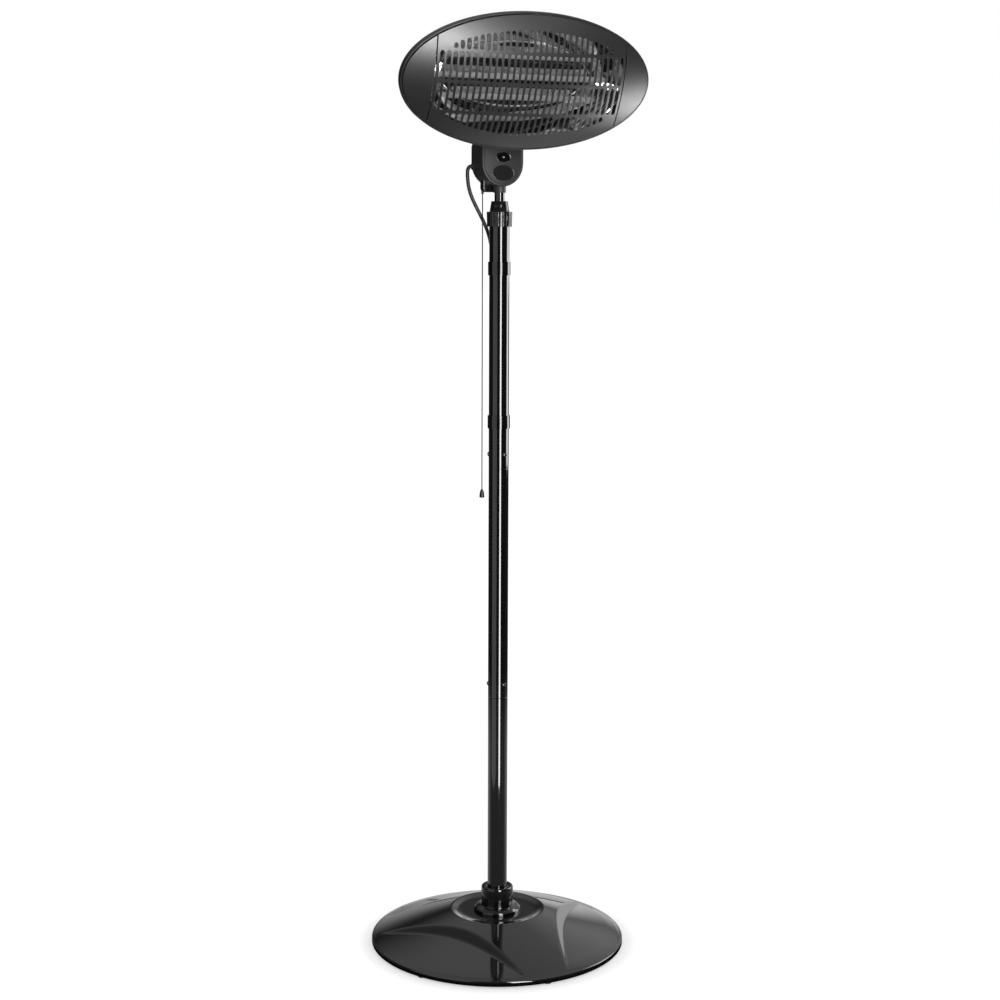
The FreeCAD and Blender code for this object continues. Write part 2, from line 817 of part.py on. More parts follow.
def inner_mast():
    """Inner tube with its guide at the foot and the neck socket at its head."""
    tube_top = neck_bottom + d.socket_depth
    tube_low = tube_top - d.inner_tube_length
    tube = turned("inner_tube", tube_section(d.inner_radius, tube_low, tube_top, d.inner_wall))
    guide_low = tube_low - d.guide_lip
    seat = d.inner_radius + d.seat_gap
    guide_radius = pole_bore - d.running_gap
    guide = turned("tube_guide", [
        (d.inner_radius - d.inner_wall, guide_low), (guide_radius, guide_low),
        (guide_radius, guide_low + d.guide_height), (seat, guide_low + d.guide_height), (seat, tube_low),
        (d.inner_radius - d.inner_wall, tube_low),
    ])
    neck_top = neck_bottom + d.neck_length
    neck = turned("neck_socket", [
        (seat, neck_bottom), (d.neck_radius, neck_bottom), (d.neck_radius, neck_top),
        (d.inner_radius - d.inner_wall, neck_top), (d.inner_radius - d.inner_wall, tube_top), (seat, tube_top),
    ])
    return [tube, guide, neck]


def housing_outline(inset):
    """Front view of the switch housing: straight sides on a half-round bottom."""
    half = d.housing_half_width - inset
    top = housing_top - inset
    corner = d.housing_corner
    return [
        (-half, housing_centre, half), (0, housing_bottom + inset, half), (half, housing_centre),
        (half, top - corner, corner), (half - corner, top), (corner - half, top, corner), (-half, top - corner),
    ]


def neck_hole(label):
    """Clearance hole for the neck through the housing's bottom."""
    return rod(label, d.neck_radius + d.seat_gap, neck_bottom, neck_bottom + d.neck_length + d.seat_gap)


def housing_front():
    """Front cover: a bevelled tray with a raised face, a lens hole and a seat for the badge."""
    split = d.housing_split
    tray = padded("front_tray", "XZ_Plane", housing_outline(as_size(0)), -split, split + d.housing_front_depth)
    front = -d.housing_front_depth.value
    rounded(tray, d.housing_edge, lambda box: abs(box.YMin - front) + abs(box.YMax - front) < d.seat_gap.value)
    face = padded("front_face", "XZ_Plane", housing_outline(d.face_border), 0, face_front)
    hollow = padded("front_hollow", "XZ_Plane", housing_outline(d.housing_wall), -split - d.overrun,
                    split + d.overrun + d.housing_front_depth - d.housing_wall)
    lens = lens_oval("lens_hole", d.seat_gap, -face_front - d.overrun, as_size(0))
    seat = badge_oval("badge_seat_cut", d.seat_gap, -face_front - d.overrun, -face_front + d.badge_seat)
    return cut("housing_front", fuse("front_blank", tray, face), hollow, lens, seat, neck_hole("front_neck_hole"))


def lens_oval(label, grow, front, back):
    """Oval bar at the indicator's place."""
    return oval_prism(label, d.lens_half_width + grow, d.lens_half_height + grow, front, back,
                      housing_bottom + d.lens_rise)


def badge_oval(label, grow, front, back):
    """Oval bar at the badge's place."""
    return oval_prism(label, d.badge_half_width + grow, d.badge_half_height + grow, front, back,
                      housing_bottom + d.badge_rise)


def housing_trim():
    """Indicator lens with a lip behind the cover, and the plain oval badge."""
    inside = -d.housing_front_depth + d.housing_wall
    window = lens_oval("lens_window", as_size(0), -face_front - d.lens_proud, inside + d.seat_gap)
    lip = lens_oval("lens_lip_plate", d.lens_lip, inside, inside + d.lens_lip)
    badge_back = -face_front + d.badge_seat
    badge = badge_oval("badge_plate", as_size(0), badge_back - d.badge_thickness, badge_back)
    return [fuse("indicator_lens", window, lip), badge]


def housing_rear():
    """Rear shell with the lower lobe that the pull cord comes out of."""
    split = d.housing_split
    depth = d.housing_rear_depth - split
    shell = padded("rear_blank", "XZ_Plane", housing_outline(as_size(0)), -d.housing_rear_depth, depth)
    back = d.housing_rear_depth.value
    rounded(shell, d.housing_edge, lambda box: abs(box.YMin - back) + abs(box.YMax - back) < d.seat_gap.value)
    hollow = padded("rear_hollow", "XZ_Plane", housing_outline(d.housing_wall),
                    d.housing_wall - d.housing_rear_depth, depth - d.housing_wall + d.overrun)
    lobe = lobe_body("lobe", as_size(0), split)
    pocket = lobe_body("lobe_pocket", d.housing_wall, split + d.housing_wall)
    bush = rod("bush_hole", d.guide_bush_radius + d.seat_gap, neck_bottom - d.overrun, housing_centre,
               -d.pull_x, d.pull_y)
    gland = rod("gland_hole", d.lead_radius, 0, d.housing_half_width)
    place(gland, 0, d.gland_y, gland_height, axis=(0, 1, 0), angle=-QUARTER_TURN)
    return cut("housing_rear", fuse("rear_shell_blank", shell, lobe), hollow, pocket, bush, gland,
               neck_hole("rear_neck_hole"), *housing_screw_bores())


def lobe_body(label, inset, front):
    """Rounded block under the rear shell, longer on the pull cord's side."""
    left = inset - d.lobe_left
    right = d.lobe_right - inset
    low = housing_bottom - d.lobe_drop + inset
    corner = d.lobe_corner - inset
    back = d.housing_split + d.lobe_depth - inset
    corners = [
        (left, low + corner, corner), (left + corner, low), (right - corner, low, corner), (right, low + corner),
        (right, housing_centre), (left, housing_centre),
    ]
    return padded(label, "XZ_Plane", corners, -back, back - front)


def housing_screw_bores():
    """Two clearance holes through the rear wall."""
    bores = []
    for side, sign in SIDES.items():
        bore = solid("Cylinder", f"{side}_housing_bore", Radius=d.screw_radius + d.seat_gap, Height=d.housing_rear_depth)
        place(bore, d.housing_screw_spread * sign, d.housing_split, housing_bottom + d.housing_screw_rise,
              axis=(1, 0, 0), angle=-QUARTER_TURN)
        bores.append(bore)
    return bores


def rear_screw(label, x, y, z, grip):
    """A pan-head screw driven forwards from behind."""
    head = d.screw_head_height
    screw = turned(label, [
        (0, -grip), (d.screw_radius, -grip), (d.screw_radius, 0), (d.screw_head_radius, 0),
        (d.screw_head_radius, head / 2), (d.screw_head_radius / 2, head), (0, head),
    ])
    place(screw, x, y, z, axis=(1, 0, 0), angle=-QUARTER_TURN)
    doc.recompute()
    return screw


def housing_screws():
    """Screws that close the two housing halves."""
    z = housing_bottom + d.housing_screw_rise
    grip = d.housing_rear_depth - d.housing_split
    screws = [rear_screw(f"{side}_housing_screw", d.housing_screw_spread * sign, d.housing_rear_depth, z, grip)
              for side, sign in SIDES.items()]
    return gather("housing_screws", [screw.Shape for screw in screws])


def pull_switch():
    """Switch block on the rear wall, its guide bush, the pull cord and the bell on its end."""
    low = housing_bottom + d.switch_bottom
    high = low + d.switch_height
    half = d.switch_width / 2
    back = d.housing_rear_depth - d.housing_wall
    clear = d.pull_cord_radius + d.pull_clear
    body = block("switch_block", (-d.pull_x - half, back - d.switch_depth, low), (half - d.pull_x, back, high))
    bore = rod("switch_bore", clear, low - d.overrun, high - d.housing_wall, -d.pull_x, d.pull_y)
    lobe_low = housing_bottom - d.lobe_drop
    bush_low = lobe_low - d.guide_bush_height / 2
    bush = turned("cord_guide", [
        (clear, bush_low), (d.guide_bush_radius - d.pull_clear, bush_low), (d.guide_bush_radius, lobe_low),
        (d.guide_bush_radius, bush_low + d.guide_bush_height), (clear, bush_low + d.guide_bush_height),
    ])
    place(bush, -d.pull_x, d.pull_y)
    cord_top = high - d.housing_wall - d.housing_wall
    cord_low = cord_top - d.pull_cord_length
    cord = rod("pull_cord", d.pull_cord_radius, cord_low, cord_top, -d.pull_x, d.pull_y)
    bell_low = cord_low - d.pull_bell_height
    shoulder = cord_low - d.pull_bell_height / 2
    bell = turned("pull_bell", [
        (0, bell_low), (d.pull_bell_radius - d.pull_clear, bell_low), (d.pull_bell_radius, bell_low + d.pull_clear),
        (d.pull_bell_radius - d.pull_clear, shoulder, d.pull_bell_height), (d.pull_bell_neck, cord_low), (0, cord_low),
    ])
    place(bell, -d.pull_x, d.pull_y)
    return [cut("pull_switch", body, bore), bush, cord, bell]


def cable_gland():
    """Short gland on the housing's left side, pointing along -X."""
    gland = turned("cable_gland", [
        (0, 0), (d.gland_brim, 0), (d.gland_brim, d.gland_brim_height), (d.gland_tip, d.gland_brim_height),
        (d.gland_tip, d.gland_length), (0, d.gland_length),
    ])
    return place(gland, -d.housing_half_width, d.gland_y, gland_height, axis=(0, 1, 0), angle=-QUARTER_TURN)


def swept(label, wire, start, along, radius):
    """A round tube along a wire."""
    ring = Part.Wire(Part.makeCircle(radius, start, along))
    shell = Part.BRepOffsetAPI.MakePipeShell(wire)
    shell.add(ring)
    shell.build()
    shell.makeSolid()
    length = sum(edge.Length for edge in wire.Edges)
    shape = shell.shape()
    full = math.pi * radius**2 * length
    print(f"{label}: {length:.0f} mm long, volume {shape.Volume / full:.4f} of section times length")
    return gather(label, [shape])


def bent_wire(points):
    """Straight runs joined by arcs as large as the runs allow, and the arcs' radii."""
    edges = []
    radii = []
    start = points[0]
    for before, corner, after in zip(points, points[1:], points[2:]):
        back, ahead = before - corner, after - corner
        half_turn = (math.pi - back.getAngle(ahead)) / 2
        trim = ROUTE_ARC_SHARE * min(back.Length, ahead.Length)
        radii.append(trim / math.tan(half_turn))
        first = corner + back.normalize() * trim
        last = corner + ahead.normalize() * trim
        inward = (back + ahead).normalize()
        middle = corner + inward * radii[-1] * (1 / math.cos(half_turn) - 1)
        edges.append(Part.LineSegment(start, first).toShape())
        edges.append(Part.Arc(first, middle, last).toShape())
        start = last
    edges.append(Part.LineSegment(start, points[-1]).toShape())
    return Part.Wire(edges), radii


def lead_points():
    """Corners of the lead's route from the gland's mouth to the end of its straight run."""
    mouth = d.housing_half_width.value + d.gland_length.value
    back = d.lead_line.value - d.gland_y.value
    drop = gland_height.value - upper_clip_top.value
    points = [FreeCAD.Vector(-mouth * across, d.gland_y.value + back * out, gland_height.value - drop * down)
              for across, out, down in LEAD_SHARES]
    return points + [FreeCAD.Vector(0, d.lead_line.value, lead_end.value)]


def mains_lead():
    """The lead from the gland to its hank behind the pole."""
    points = lead_points()
    wire, radii = bent_wire(points)
    print("mains lead radii:", [round(radius, 1) for radius in radii])
    return swept("mains_lead", wire, points[0], points[1] - points[0], d.lead_radius.value)


def arc_from(start, along, end):
    """The arc that leaves a point along a direction and ends at another point."""
    chord = end - start
    line = chord / chord.Length
    aside = along - line * along.dot(line)
    if aside.Length < STRAIGHT:
        return Part.LineSegment(start, end).toShape()
    bulge = chord.Length / 2 * math.tan(along.getAngle(chord) / 2)
    middle = (start + end) / 2 + aside.normalize() * bulge
    return Part.Arc(start, middle, end).toShape()


def biarc_wire(stations):
    """Two tangent arcs between each pair of stations, each a point and a direction."""
    edges = []
    for (start, leave), (end, arrive) in zip(stations, stations[1:]):
        span = end - start
        both = leave + arrive
        spread = 2 * (1 - leave.dot(arrive))
        lean = span.dot(both)
        if spread > STRAIGHT:
            reach = (math.sqrt(lean**2 + spread * span.dot(span)) - lean) / spread
        else:
            reach = span.dot(span) / (4 * span.dot(arrive))
        join = (start + leave * reach + end - arrive * reach) / 2
        tangent = (end - arrive * reach - start - leave * reach).normalize()
        edges.append(arc_from(start, leave, join))
        edges.append(arc_from(join, tangent, end))
    return Part.Wire(edges)


def hank_point(across, out, height):
    """A point of the hank: across and out from the pole in the hank's own direction."""
    turn = math.radians(d.hank_turn.value)
    outward = FreeCAD.Vector(math.cos(turn), math.sin(turn), 0)
    sideways = FreeCAD.Vector(math.sin(turn), -math.cos(turn), 0)
    return sideways * across + outward * out + FreeCAD.Vector(0, 0, height)


def hank_stations():
    """The lead's loops: down the inner side, round, up the outer side and round again, drawn in at the waist."""
    down, up = FreeCAD.Vector(0, 0, -1), FreeCAD.Vector(0, 0, 1)
    outward = hank_point(0, 1, 0)
    pitch, fold = d.hank_pitch.value, d.hank_fold_radius.value
    inner, low = d.hank_inner.value, hank_bottom.value
    outer, high = inner + 2 * fold, low + d.hank_run.value
    middle, waist = (low + high) / 2, d.hank_waist.value
    stations = [(lead_points()[-1], down)]
    for across in (-pitch, 0, pitch):
        stations.append((hank_point(across, inner, high), down))
        stations.append((hank_point(across, inner + waist, middle), down))
        stations.append((hank_point(across, inner, low), down))
        if across == pitch:
            break
        stations.append((hank_point(across, inner + fold, low - fold), outward))
        stations.append((hank_point(across, outer, low), up))
        stations.append((hank_point(across + pitch / 2, outer - waist, middle), up))
        stations.append((hank_point(across + pitch, outer, high), up))
        stations.append((hank_point(across + pitch, inner + fold, high + fold), -outward))
    stations.append((hank_point(0, d.plug_line.value, plug_top.value), down))
    return stations


def least_gap(wire, radius):
    """Smallest distance between far-apart stretches of a tube, measured on points."""
    step = radius
    points = wire.discretize(Distance=step)
    apart = round(math.pi * 2 * radius / step) + CROSS
    return min((a - b).Length for i, a in enumerate(points) for b in points[i + apart:]) - 2 * radius


def lead_hank():
    """Spare length of the lead folded into a hank, and the tie round its waist."""
    stations = hank_stations()
    wire = biarc_wire(stations)
    print(f"lead_hank: least gap to itself {least_gap(wire, d.lead_radius.value):.2f} mm")
    hank = swept("lead_hank", wire, stations[0][0], stations[0][1], d.lead_radius.value)
    half_across = d.hank_pitch + d.lead_radius + d.tie_gap
    half_out = d.hank_fold_radius - d.hank_waist + d.lead_radius + d.tie_gap
    low = hank_bottom + d.hank_run / 2 - d.tie_width / 2
    rings = []
    for label, grow in (("tie_outside", d.tie_wall), ("tie_inside", as_size(0))):
        x, y, corner = half_out + grow, half_across + grow, d.tie_corner
        rings.append(padded(label, "XY_Plane", [
            (corner - x, -y), (x - corner, -y, corner), (x, corner - y), (x, y - corner, corner),
            (x - corner, y), (corner - x, y, corner), (-x, y - corner), (-x, corner - y, corner),
        ], low, d.tie_width))
    tie = cut("hank_tie", *rings)
    centre = hank_point(0, d.hank_inner.value + d.hank_fold_radius.value, 0)
    tie.Placement = FreeCAD.Placement(centre, FreeCAD.Rotation(FreeCAD.Vector(0, 0, 1), d.hank_turn.value))
    return [hank, tie]


def mains_plug():
    """Moulded plug hanging under the hank, and its two pins."""
    face = plug_top - d.plug_length
    shoulder = plug_top - d.plug_neck_length
    pin_low = face - d.plug_pin_length
    body = turned("plug_body", [
        (0, face), (d.plug_radius, face), (d.plug_radius, shoulder - d.plug_neck_length / 2),
        (d.plug_neck_radius + d.lead_radius, shoulder), (d.plug_neck_radius, plug_top), (0, plug_top),
    ])
    pin = turned("plug_pin", [
        (0, pin_low), (d.plug_pin_radius / 2, pin_low), (d.plug_pin_radius, pin_low + d.plug_pin_radius),
        (d.plug_pin_radius, face), (0, face),
    ])
    spot = hank_point(0, d.plug_line.value, 0)
    body.Placement.Base = spot
    pins = []
    for sign in SIDES.values():
        pins.append(pin.Shape.translated(spot + hank_point(d.plug_pin_spread.value * sign, 0, 0)))
    return [body, gather("plug_pins", pins)]


def tilt_yoke():
    """Fork on top of the housing that carries the head's hinge bolt."""
    half = d.yoke_half_width
    sheet = d.yoke_sheet
    arm = d.yoke_arm
    cheek = padded("yoke_cheek", "YZ_Plane", [
        (d.tilt_y - arm, housing_top), (d.tilt_y + arm, housing_top), (d.tilt_y + arm, tilt_height, arm),
        (d.tilt_y, tilt_height + arm, arm), (d.tilt_y - arm, tilt_height),
    ], -half, half * 2)
    inside = half - sheet
    gap = block("yoke_gap", (-inside, d.tilt_y - arm - d.overrun, housing_top + sheet),
                (inside, d.tilt_y + arm + d.overrun, tilt_height + arm + d.overrun))
    bore = hinge_bar("yoke_bore", d.hinge_radius + d.seat_gap, -half - d.overrun, half + d.overrun)
    return cut("tilt_yoke", cheek, gap, bore)


def hinge_bar(label, radius, low, high):
    """A bar along the tilt axis."""
    bar = solid("Cylinder", label, Radius=radius, Height=high - low)
    place(bar, low, d.tilt_y, tilt_height, axis=(0, 1, 0), angle=QUARTER_TURN)
    doc.recompute()
    return bar


def tilt_bolt():
    """Hinge bolt with its head on the left cheek and its end in the knob."""
    half = d.yoke_half_width
    shank = hinge_bar("tilt_shank", d.hinge_radius, -half, half + d.bolt_end - d.overrun)
    head = hinge_bar("tilt_head", d.hinge_radius * 2, -half - d.hinge_radius, -half)
    return fuse("tilt_bolt", shank, head)


def tilt_knob():
    """Scalloped hand knob that clamps the tilt."""
    low = d.yoke_half_width + d.running_gap
    blank = hinge_bar("knob_blank", d.knob_radius, low, low + d.knob_thickness)
    bore = hinge_bar("knob_bore", d.hinge_radius + d.running_gap, low - d.overrun,
                     d.yoke_half_width + d.bolt_end - d.overrun + d.running_gap)
    reach = d.knob_radius.value + d.knob_scallop.value / 2
    axis = FreeCAD.Vector(1, 0, 0)
    centre = vector(0, d.tilt_y, tilt_height)
    scallop = Part.makeCylinder(d.knob_scallop.value, d.knob_thickness.value * 2,
                                centre + vector(low, reach, 0), axis)
    step = FULL_TURN / d.knob_lobes.value
    grips = gather("knob_grips", [scallop.rotated(centre, axis, step * i) for i in range(round(d.knob_lobes.value))])
    return cut("tilt_knob", blank, bore, grips)


def tilt_bracket():
    """Plate on the shell's flat back with two lugs inside the yoke."""
    back = d.shell_back
    hinge_y, hinge_z = d.head_reach, -d.head_rise
    lug = d.lug_radius
    rise = hinge_z + d.lug_rise
    plate = block("bracket_plate", (-d.bracket_half_width, back, hinge_z), (d.bracket_half_width, back + d.bracket_sheet, rise))
    cheek = padded("bracket_cheek", "YZ_Plane", [
        (back, hinge_z), (hinge_y - lug, hinge_z, lug), (hinge_y, hinge_z - lug, lug), (hinge_y + lug, hinge_z),
        (back + d.bracket_sheet, rise), (back, rise),
    ], -lug_outer, lug_outer * 2)
    inside = lug_outer - d.lug_sheet
    gap = block("bracket_gap", (-inside, back + d.bracket_sheet, hinge_z - lug - d.overrun),
                (inside, hinge_y + lug + d.overrun, rise + d.overrun))
    bore = solid("Cylinder", "bracket_bore", Radius=d.hinge_radius + d.running_gap, Height=lug_outer * 2)
    place(bore, -lug_outer, hinge_y, hinge_z, axis=(0, 1, 0), angle=QUARTER_TURN)
    return on_head(cut("tilt_bracket", fuse("bracket_blank", plate, cheek), gap, bore, *bracket_bores("plate")))


def bracket_bores(label):
    """Clearance holes for the bracket's screws."""
    bores = []
    for side, sign in SIDES.items():
        bore = solid("Cylinder", f"{label}_{side}_bore", Radius=d.screw_radius + d.seat_gap, Height=d.overrun * CROSS)
        place(bore, d.bracket_screw_spread * sign, d.shell_back - d.overrun * 2, d.bracket_screw_rise - d.head_rise,
              axis=(1, 0, 0), angle=-QUARTER_TURN)
        bores.append(bore)
    return bores


def bracket_screws():
    """Screws that hold the bracket to the shell."""
    seat = d.shell_back + d.bracket_sheet
    z = d.bracket_screw_rise - d.head_rise
    screws = [rear_screw(f"{side}_bracket_screw", d.bracket_screw_spread * sign, seat, z, d.screw_grip)
              for side, sign in SIDES.items()]
    return on_head(gather("bracket_screws", [screw.Shape for screw in screws]))


def ellipsoid(label, inset):
    """The shell's ovoid, inset by a wall."""
    return solid("Ellipsoid", label, Radius1=d.head_half_height - inset, Radius2=d.head_half_width - inset,
                 Radius3=d.shell_depth - inset)


def slab(label, front, back):
    """A box wider than the head between two depths."""
    half = d.head_half_width + d.overrun
    return block(label, (-half, front, -half), (half, back, half))


def rear_shell():
    """Oval bowl with a flat back, a beaded rim and a ledge that the reflector sits on."""
    outside = common("shell_outside", ellipsoid("shell_ovoid", d.rim_bead), slab("shell_span", 0, d.shell_back))
    ledge_back = rim_seat + d.shell_wall
    hollow = common("shell_hollow", ellipsoid("shell_inner_ovoid", d.rim_bead + d.shell_wall),
                    slab("shell_inner_span", ledge_back, d.shell_back - d.shell_wall))
    mouth_width, mouth_height = d.head_half_width - d.rim_wall, d.head_half_height - d.rim_wall
    front = -d.rim_front - d.overrun
    rim = oval_prism("rim_ring", d.head_half_width, d.head_half_height, -d.rim_front, ledge_back)
    mouth = oval_prism("rim_mouth", mouth_width, mouth_height, front, rim_seat)
    opening = oval_prism("rim_opening", mouth_width - d.rim_ledge, mouth_height - d.rim_ledge, front,
                         ledge_back + d.overrun)
    return on_head(cut("rear_shell", fuse("shell_blank", outside, rim), hollow, mouth, opening,
                       *bracket_bores("shell")))


def front_blank(label, inset):
    """Solid behind the crowned front: a barrel surface trimmed to the head's oval."""
    half_width, half_height = panel_half_width - inset, panel_half_height - inset
    crown = d.panel_crown
    rise = d.panel_skirt + crown - inset
    across = (panel_half_width * panel_half_width + crown * crown) / (crown * 2)
    upright = (panel_half_height * panel_half_height + crown * crown) / (crown * 2)
    return barrel(label, across - inset, upright - inset, rise, half_width, half_height)


def barrel(label, across, upright, rise, half_width, half_height):
    """A doubly curved front of two radii, cut from a turned ring and trimmed by an oval prism."""
    reach = half_height + d.overrun
    depth = rise * CROSS
    sag = upright - Size(math.sqrt(upright.value**2 - reach.value**2), f"sqrt({upright.formula}^2 - {reach.formula}^2)")
    ring = turned(f"{label}_ring", [
        (across - depth, -reach), (across - sag, -reach, upright), (across - sag, reach), (across - depth, reach),
    ])
    place(ring, 0, across - rise, 0)
    trim = oval_prism(f"{label}_trim", half_width, half_height, -rise - d.overrun, as_size(0))
    return common(label, trim, ring)


def front_panel():
    """Crowned front skin with its skirt, split into a perforated middle and two plain end caps."""
    skin = cut("front_skin", front_blank("front_outer", as_size(0)), front_blank("front_inner", d.panel_wall))
    half = d.cap_line - d.cap_gap / 2
    tall, deep = d.head_half_height, d.head_half_height
    middle = block("grille_span", (-half, -deep, -tall), (half, deep, tall))
    pieces = [on_head(cut("front_grille", common("grille_blank", skin, middle), slot_cutters()))]
    edge = d.cap_line + d.cap_gap / 2
    for side, sign in SIDES.items():
        near, far = (edge, d.head_half_width) if sign > 0 else (-d.head_half_width, -edge)
        span = block(f"{side}_cap_span", (near, -deep, -tall), (far, deep, tall))
        pieces.append(on_head(common(f"{side}_end_cap", skin, span)))
    return pieces


def slot_cutters():
    """Bars for the upright slots: rows cut off by an oval line inside the rim, with bevelled ends."""
    half = d.slot_width.value / 2
    bevel, web, row_pitch = d.slot_end.value, d.slot_web.value, d.slot_row_pitch.value
    oval_width = d.head_half_width.value - d.slot_margin.value
    oval_height = d.head_half_height.value - d.slot_margin.value
    front = -(d.panel_skirt + d.panel_crown + d.overrun).value
    bars = []
    columns, rows = round(d.slot_columns.value), round(d.slot_rows.value)
    for column in range(columns):
        x = (column - (columns - 1) / 2) * d.slot_pitch.value
        limit = oval_height * math.sqrt(1 - (x / oval_width) ** 2)
        for row in range(rows):
            low = max((row - rows / 2) * row_pitch + web / 2, -limit)
            high = min((row + 1 - rows / 2) * row_pitch - web / 2, limit)
            if high - low < d.slot_width.value:
                continue
            inner = half - bevel
            corners = [(-inner, low), (inner, low), (half, low + bevel), (half, high - bevel), (inner, high),
                       (-inner, high), (-half, high - bevel), (-half, low + bevel)]
            points = [FreeCAD.Vector(x + u, front, w) for u, w in corners]
            face = Part.Face(Part.makePolygon(points + points[:1]))
            bars.append(face.extrude(FreeCAD.Vector(0, -front, 0)))
    return gather("slot_bars", bars)


def reflector():
    """Polished oval tub behind the elements, with a flange clamped at the rim."""
    outside = reflector_tub("tub_outside", as_size(0))
    inside = reflector_tub("tub_inside", d.reflector_sheet)
    flange = oval_prism("tub_flange", panel_half_width, panel_half_height, d.seat_gap, d.seat_gap + d.reflector_sheet)
    holes = [element_bar(f"{row}_tub_hole", d.tube_radius + d.seat_gap, tube_half_length, level)
             for row, level in TUBE_ROWS.items()]
    return on_head(cut("reflector", fuse("tub_blank", outside, flange), inside, *holes))


def reflector_tub(label, inset):
    """Tapered oval solid from the rim back to the tub's flat floor, run on past the rim for the hollow."""
    ahead = d.overrun if inset.value else as_size(0)
    share = ahead / d.reflector_depth
    width = d.head_half_width - d.tub_side_inset - inset
    height = d.head_half_height - d.tub_top_inset - inset
    sections = []
    for name, along, depth in (("rim", -share, d.seat_gap - ahead),
                               ("floor", as_size(1), d.seat_gap + d.reflector_depth - inset)):
        ellipse = solid("Ellipse", f"{label}_{name}", MajorRadius=width - d.tub_side_taper * along,
                        MinorRadius=height - d.tub_top_taper * along)
        sections.append(place(ellipse, 0, depth, 0, axis=(1, 0, 0), angle=-QUARTER_TURN))
    tub = doc.addObject("Part::Loft", label)
    tub.Sections = sections
    tub.Solid = True
    tub.Ruled = True
    doc.recompute()
    return tub


def element_bar(label, radius, half_length, level):
    """A bar along X at one heating element's place."""
    bar = solid("Cylinder", label, Radius=radius, Height=half_length * 2)
    place(bar, -half_length, d.tube_depth, d.tube_pitch * level, axis=(0, 1, 0), angle=QUARTER_TURN)
    doc.recompute()
    return bar


def elements():
    """Three quartz tubes and the heating coils inside them."""
    pieces = []
    coils = []
    for row, level in TUBE_ROWS.items():
        bar = element_bar(f"{row}_tube_bar", d.tube_radius, tube_half_length, level)
        bore = element_bar(f"{row}_tube_bore", d.tube_radius - d.tube_wall, tube_half_length + d.overrun, level)
        pieces.append(on_head(cut(f"{row}_quartz_tube", bar, bore)))
        coil = element_bar(f"{row}_coil_bar", d.coil_radius, tube_half_length, level)
        core = element_bar(f"{row}_coil_core", d.coil_radius - d.coil_wall, tube_half_length + d.overrun, level)
        coils.append(cut(f"{row}_coil", coil, core).Shape)
    return pieces + [on_head(gather("heating_coils", coils))]


def element_holder(side, sign):
    """Ceramic bar at one end of the elements, on legs that stand on the shell."""
    inner, outer = holder_inner, holder_inner + d.holder_thickness
    near, far = (inner, outer) if sign > 0 else (-outer, -inner)
    front = d.tube_depth - d.holder_depth / 2
    tall = d.holder_half_height
    bar = block(f"{side}_holder_bar", (near, front, -tall), (far, front + d.holder_depth, tall))
    legs = []
    for row, level in TUBE_ROWS.items():
        if level == 0:
            continue
        middle = d.tube_pitch * level
        legs.append(block(f"{side}_{row}_leg", (near, front, middle - d.holder_leg),
                          (far, d.shell_back, middle + d.holder_leg)))
    inside = ellipsoid(f"{side}_holder_limit", d.rim_bead + d.shell_wall + d.seat_gap)
    sockets = [element_bar(f"{side}_{row}_socket", d.tube_radius + d.seat_gap, tube_half_length + d.seat_gap, level)
               for row, level in TUBE_ROWS.items()]
    blank = fuse(f"{side}_holder_blank", bar, *legs)
    return on_head(cut(f"{side}_element_holder", common(f"{side}_holder_trim", blank, inside), *sockets))


def build():
    """Every piece of the heater, from the floor up."""
    return [
        base_cover(), rubber_feet(), base_weight(), pole_flange(), flange_bolts(), flange_cover(),
        *pole(), joint_screws("lower_joint_screws", lower_joint), joint_screws("upper_joint_screws", upper_joint),
        cord_clip("lower_cord_clip", upper_joint + d.lower_clip_rise),
        cord_clip("upper_cord_clip", upper_joint + d.upper_clip_rise),
        collet(), lock_collar(), *inner_mast(),
        housing_front(), housing_rear(), *housing_trim(), housing_screws(), *pull_switch(),
        cable_gland(), mains_lead(), *lead_hank(), *mains_plug(),
        tilt_yoke(), tilt_bolt(), tilt_knob(), tilt_bracket(), bracket_screws(),
        rear_shell(), *front_panel(), reflector(), *elements(),
        *[element_holder(side, sign) for side, sign in SIDES.items()],
    ]


def check(pieces):
    """Stop if any object failed or any piece is empty or invalid."""
    doc.recompute()
    for item in doc.Objects:
        if {"Invalid", "Error"} & set(item.State):
            raise RuntimeError(f"{item.Label} failed: {item.State}")
    for piece in pieces:
        if piece.Shape.isNull() or not piece.Shape.isValid() or not piece.Shape.Solids:
            raise RuntimeError(f"{piece.Label} has no sound solid")


def main():
    """Build, check and write every piece."""
    pieces = build()
    check(pieces)
    os.makedirs("parts", exist_ok=True)
    for piece in pieces:
        piece.Shape.exportStep(f"parts/{piece.Label}.step")
        print(f"{piece.Label}: {len(piece.Shape.Solids)} solids, {piece.Shape.Volume:.0f} mm3")


main()
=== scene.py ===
"""Looks of a free-standing electric patio heater, in the frame that its solids share.

Sizes are written in millimetres; meshes, lights and the camera are in metres.
"""

import logging
import math
from dataclasses import dataclass
from enum import Enum
from typing import Any, Callable, Sequence

import bmesh
import bpy
from mathutils import Matrix, Vector


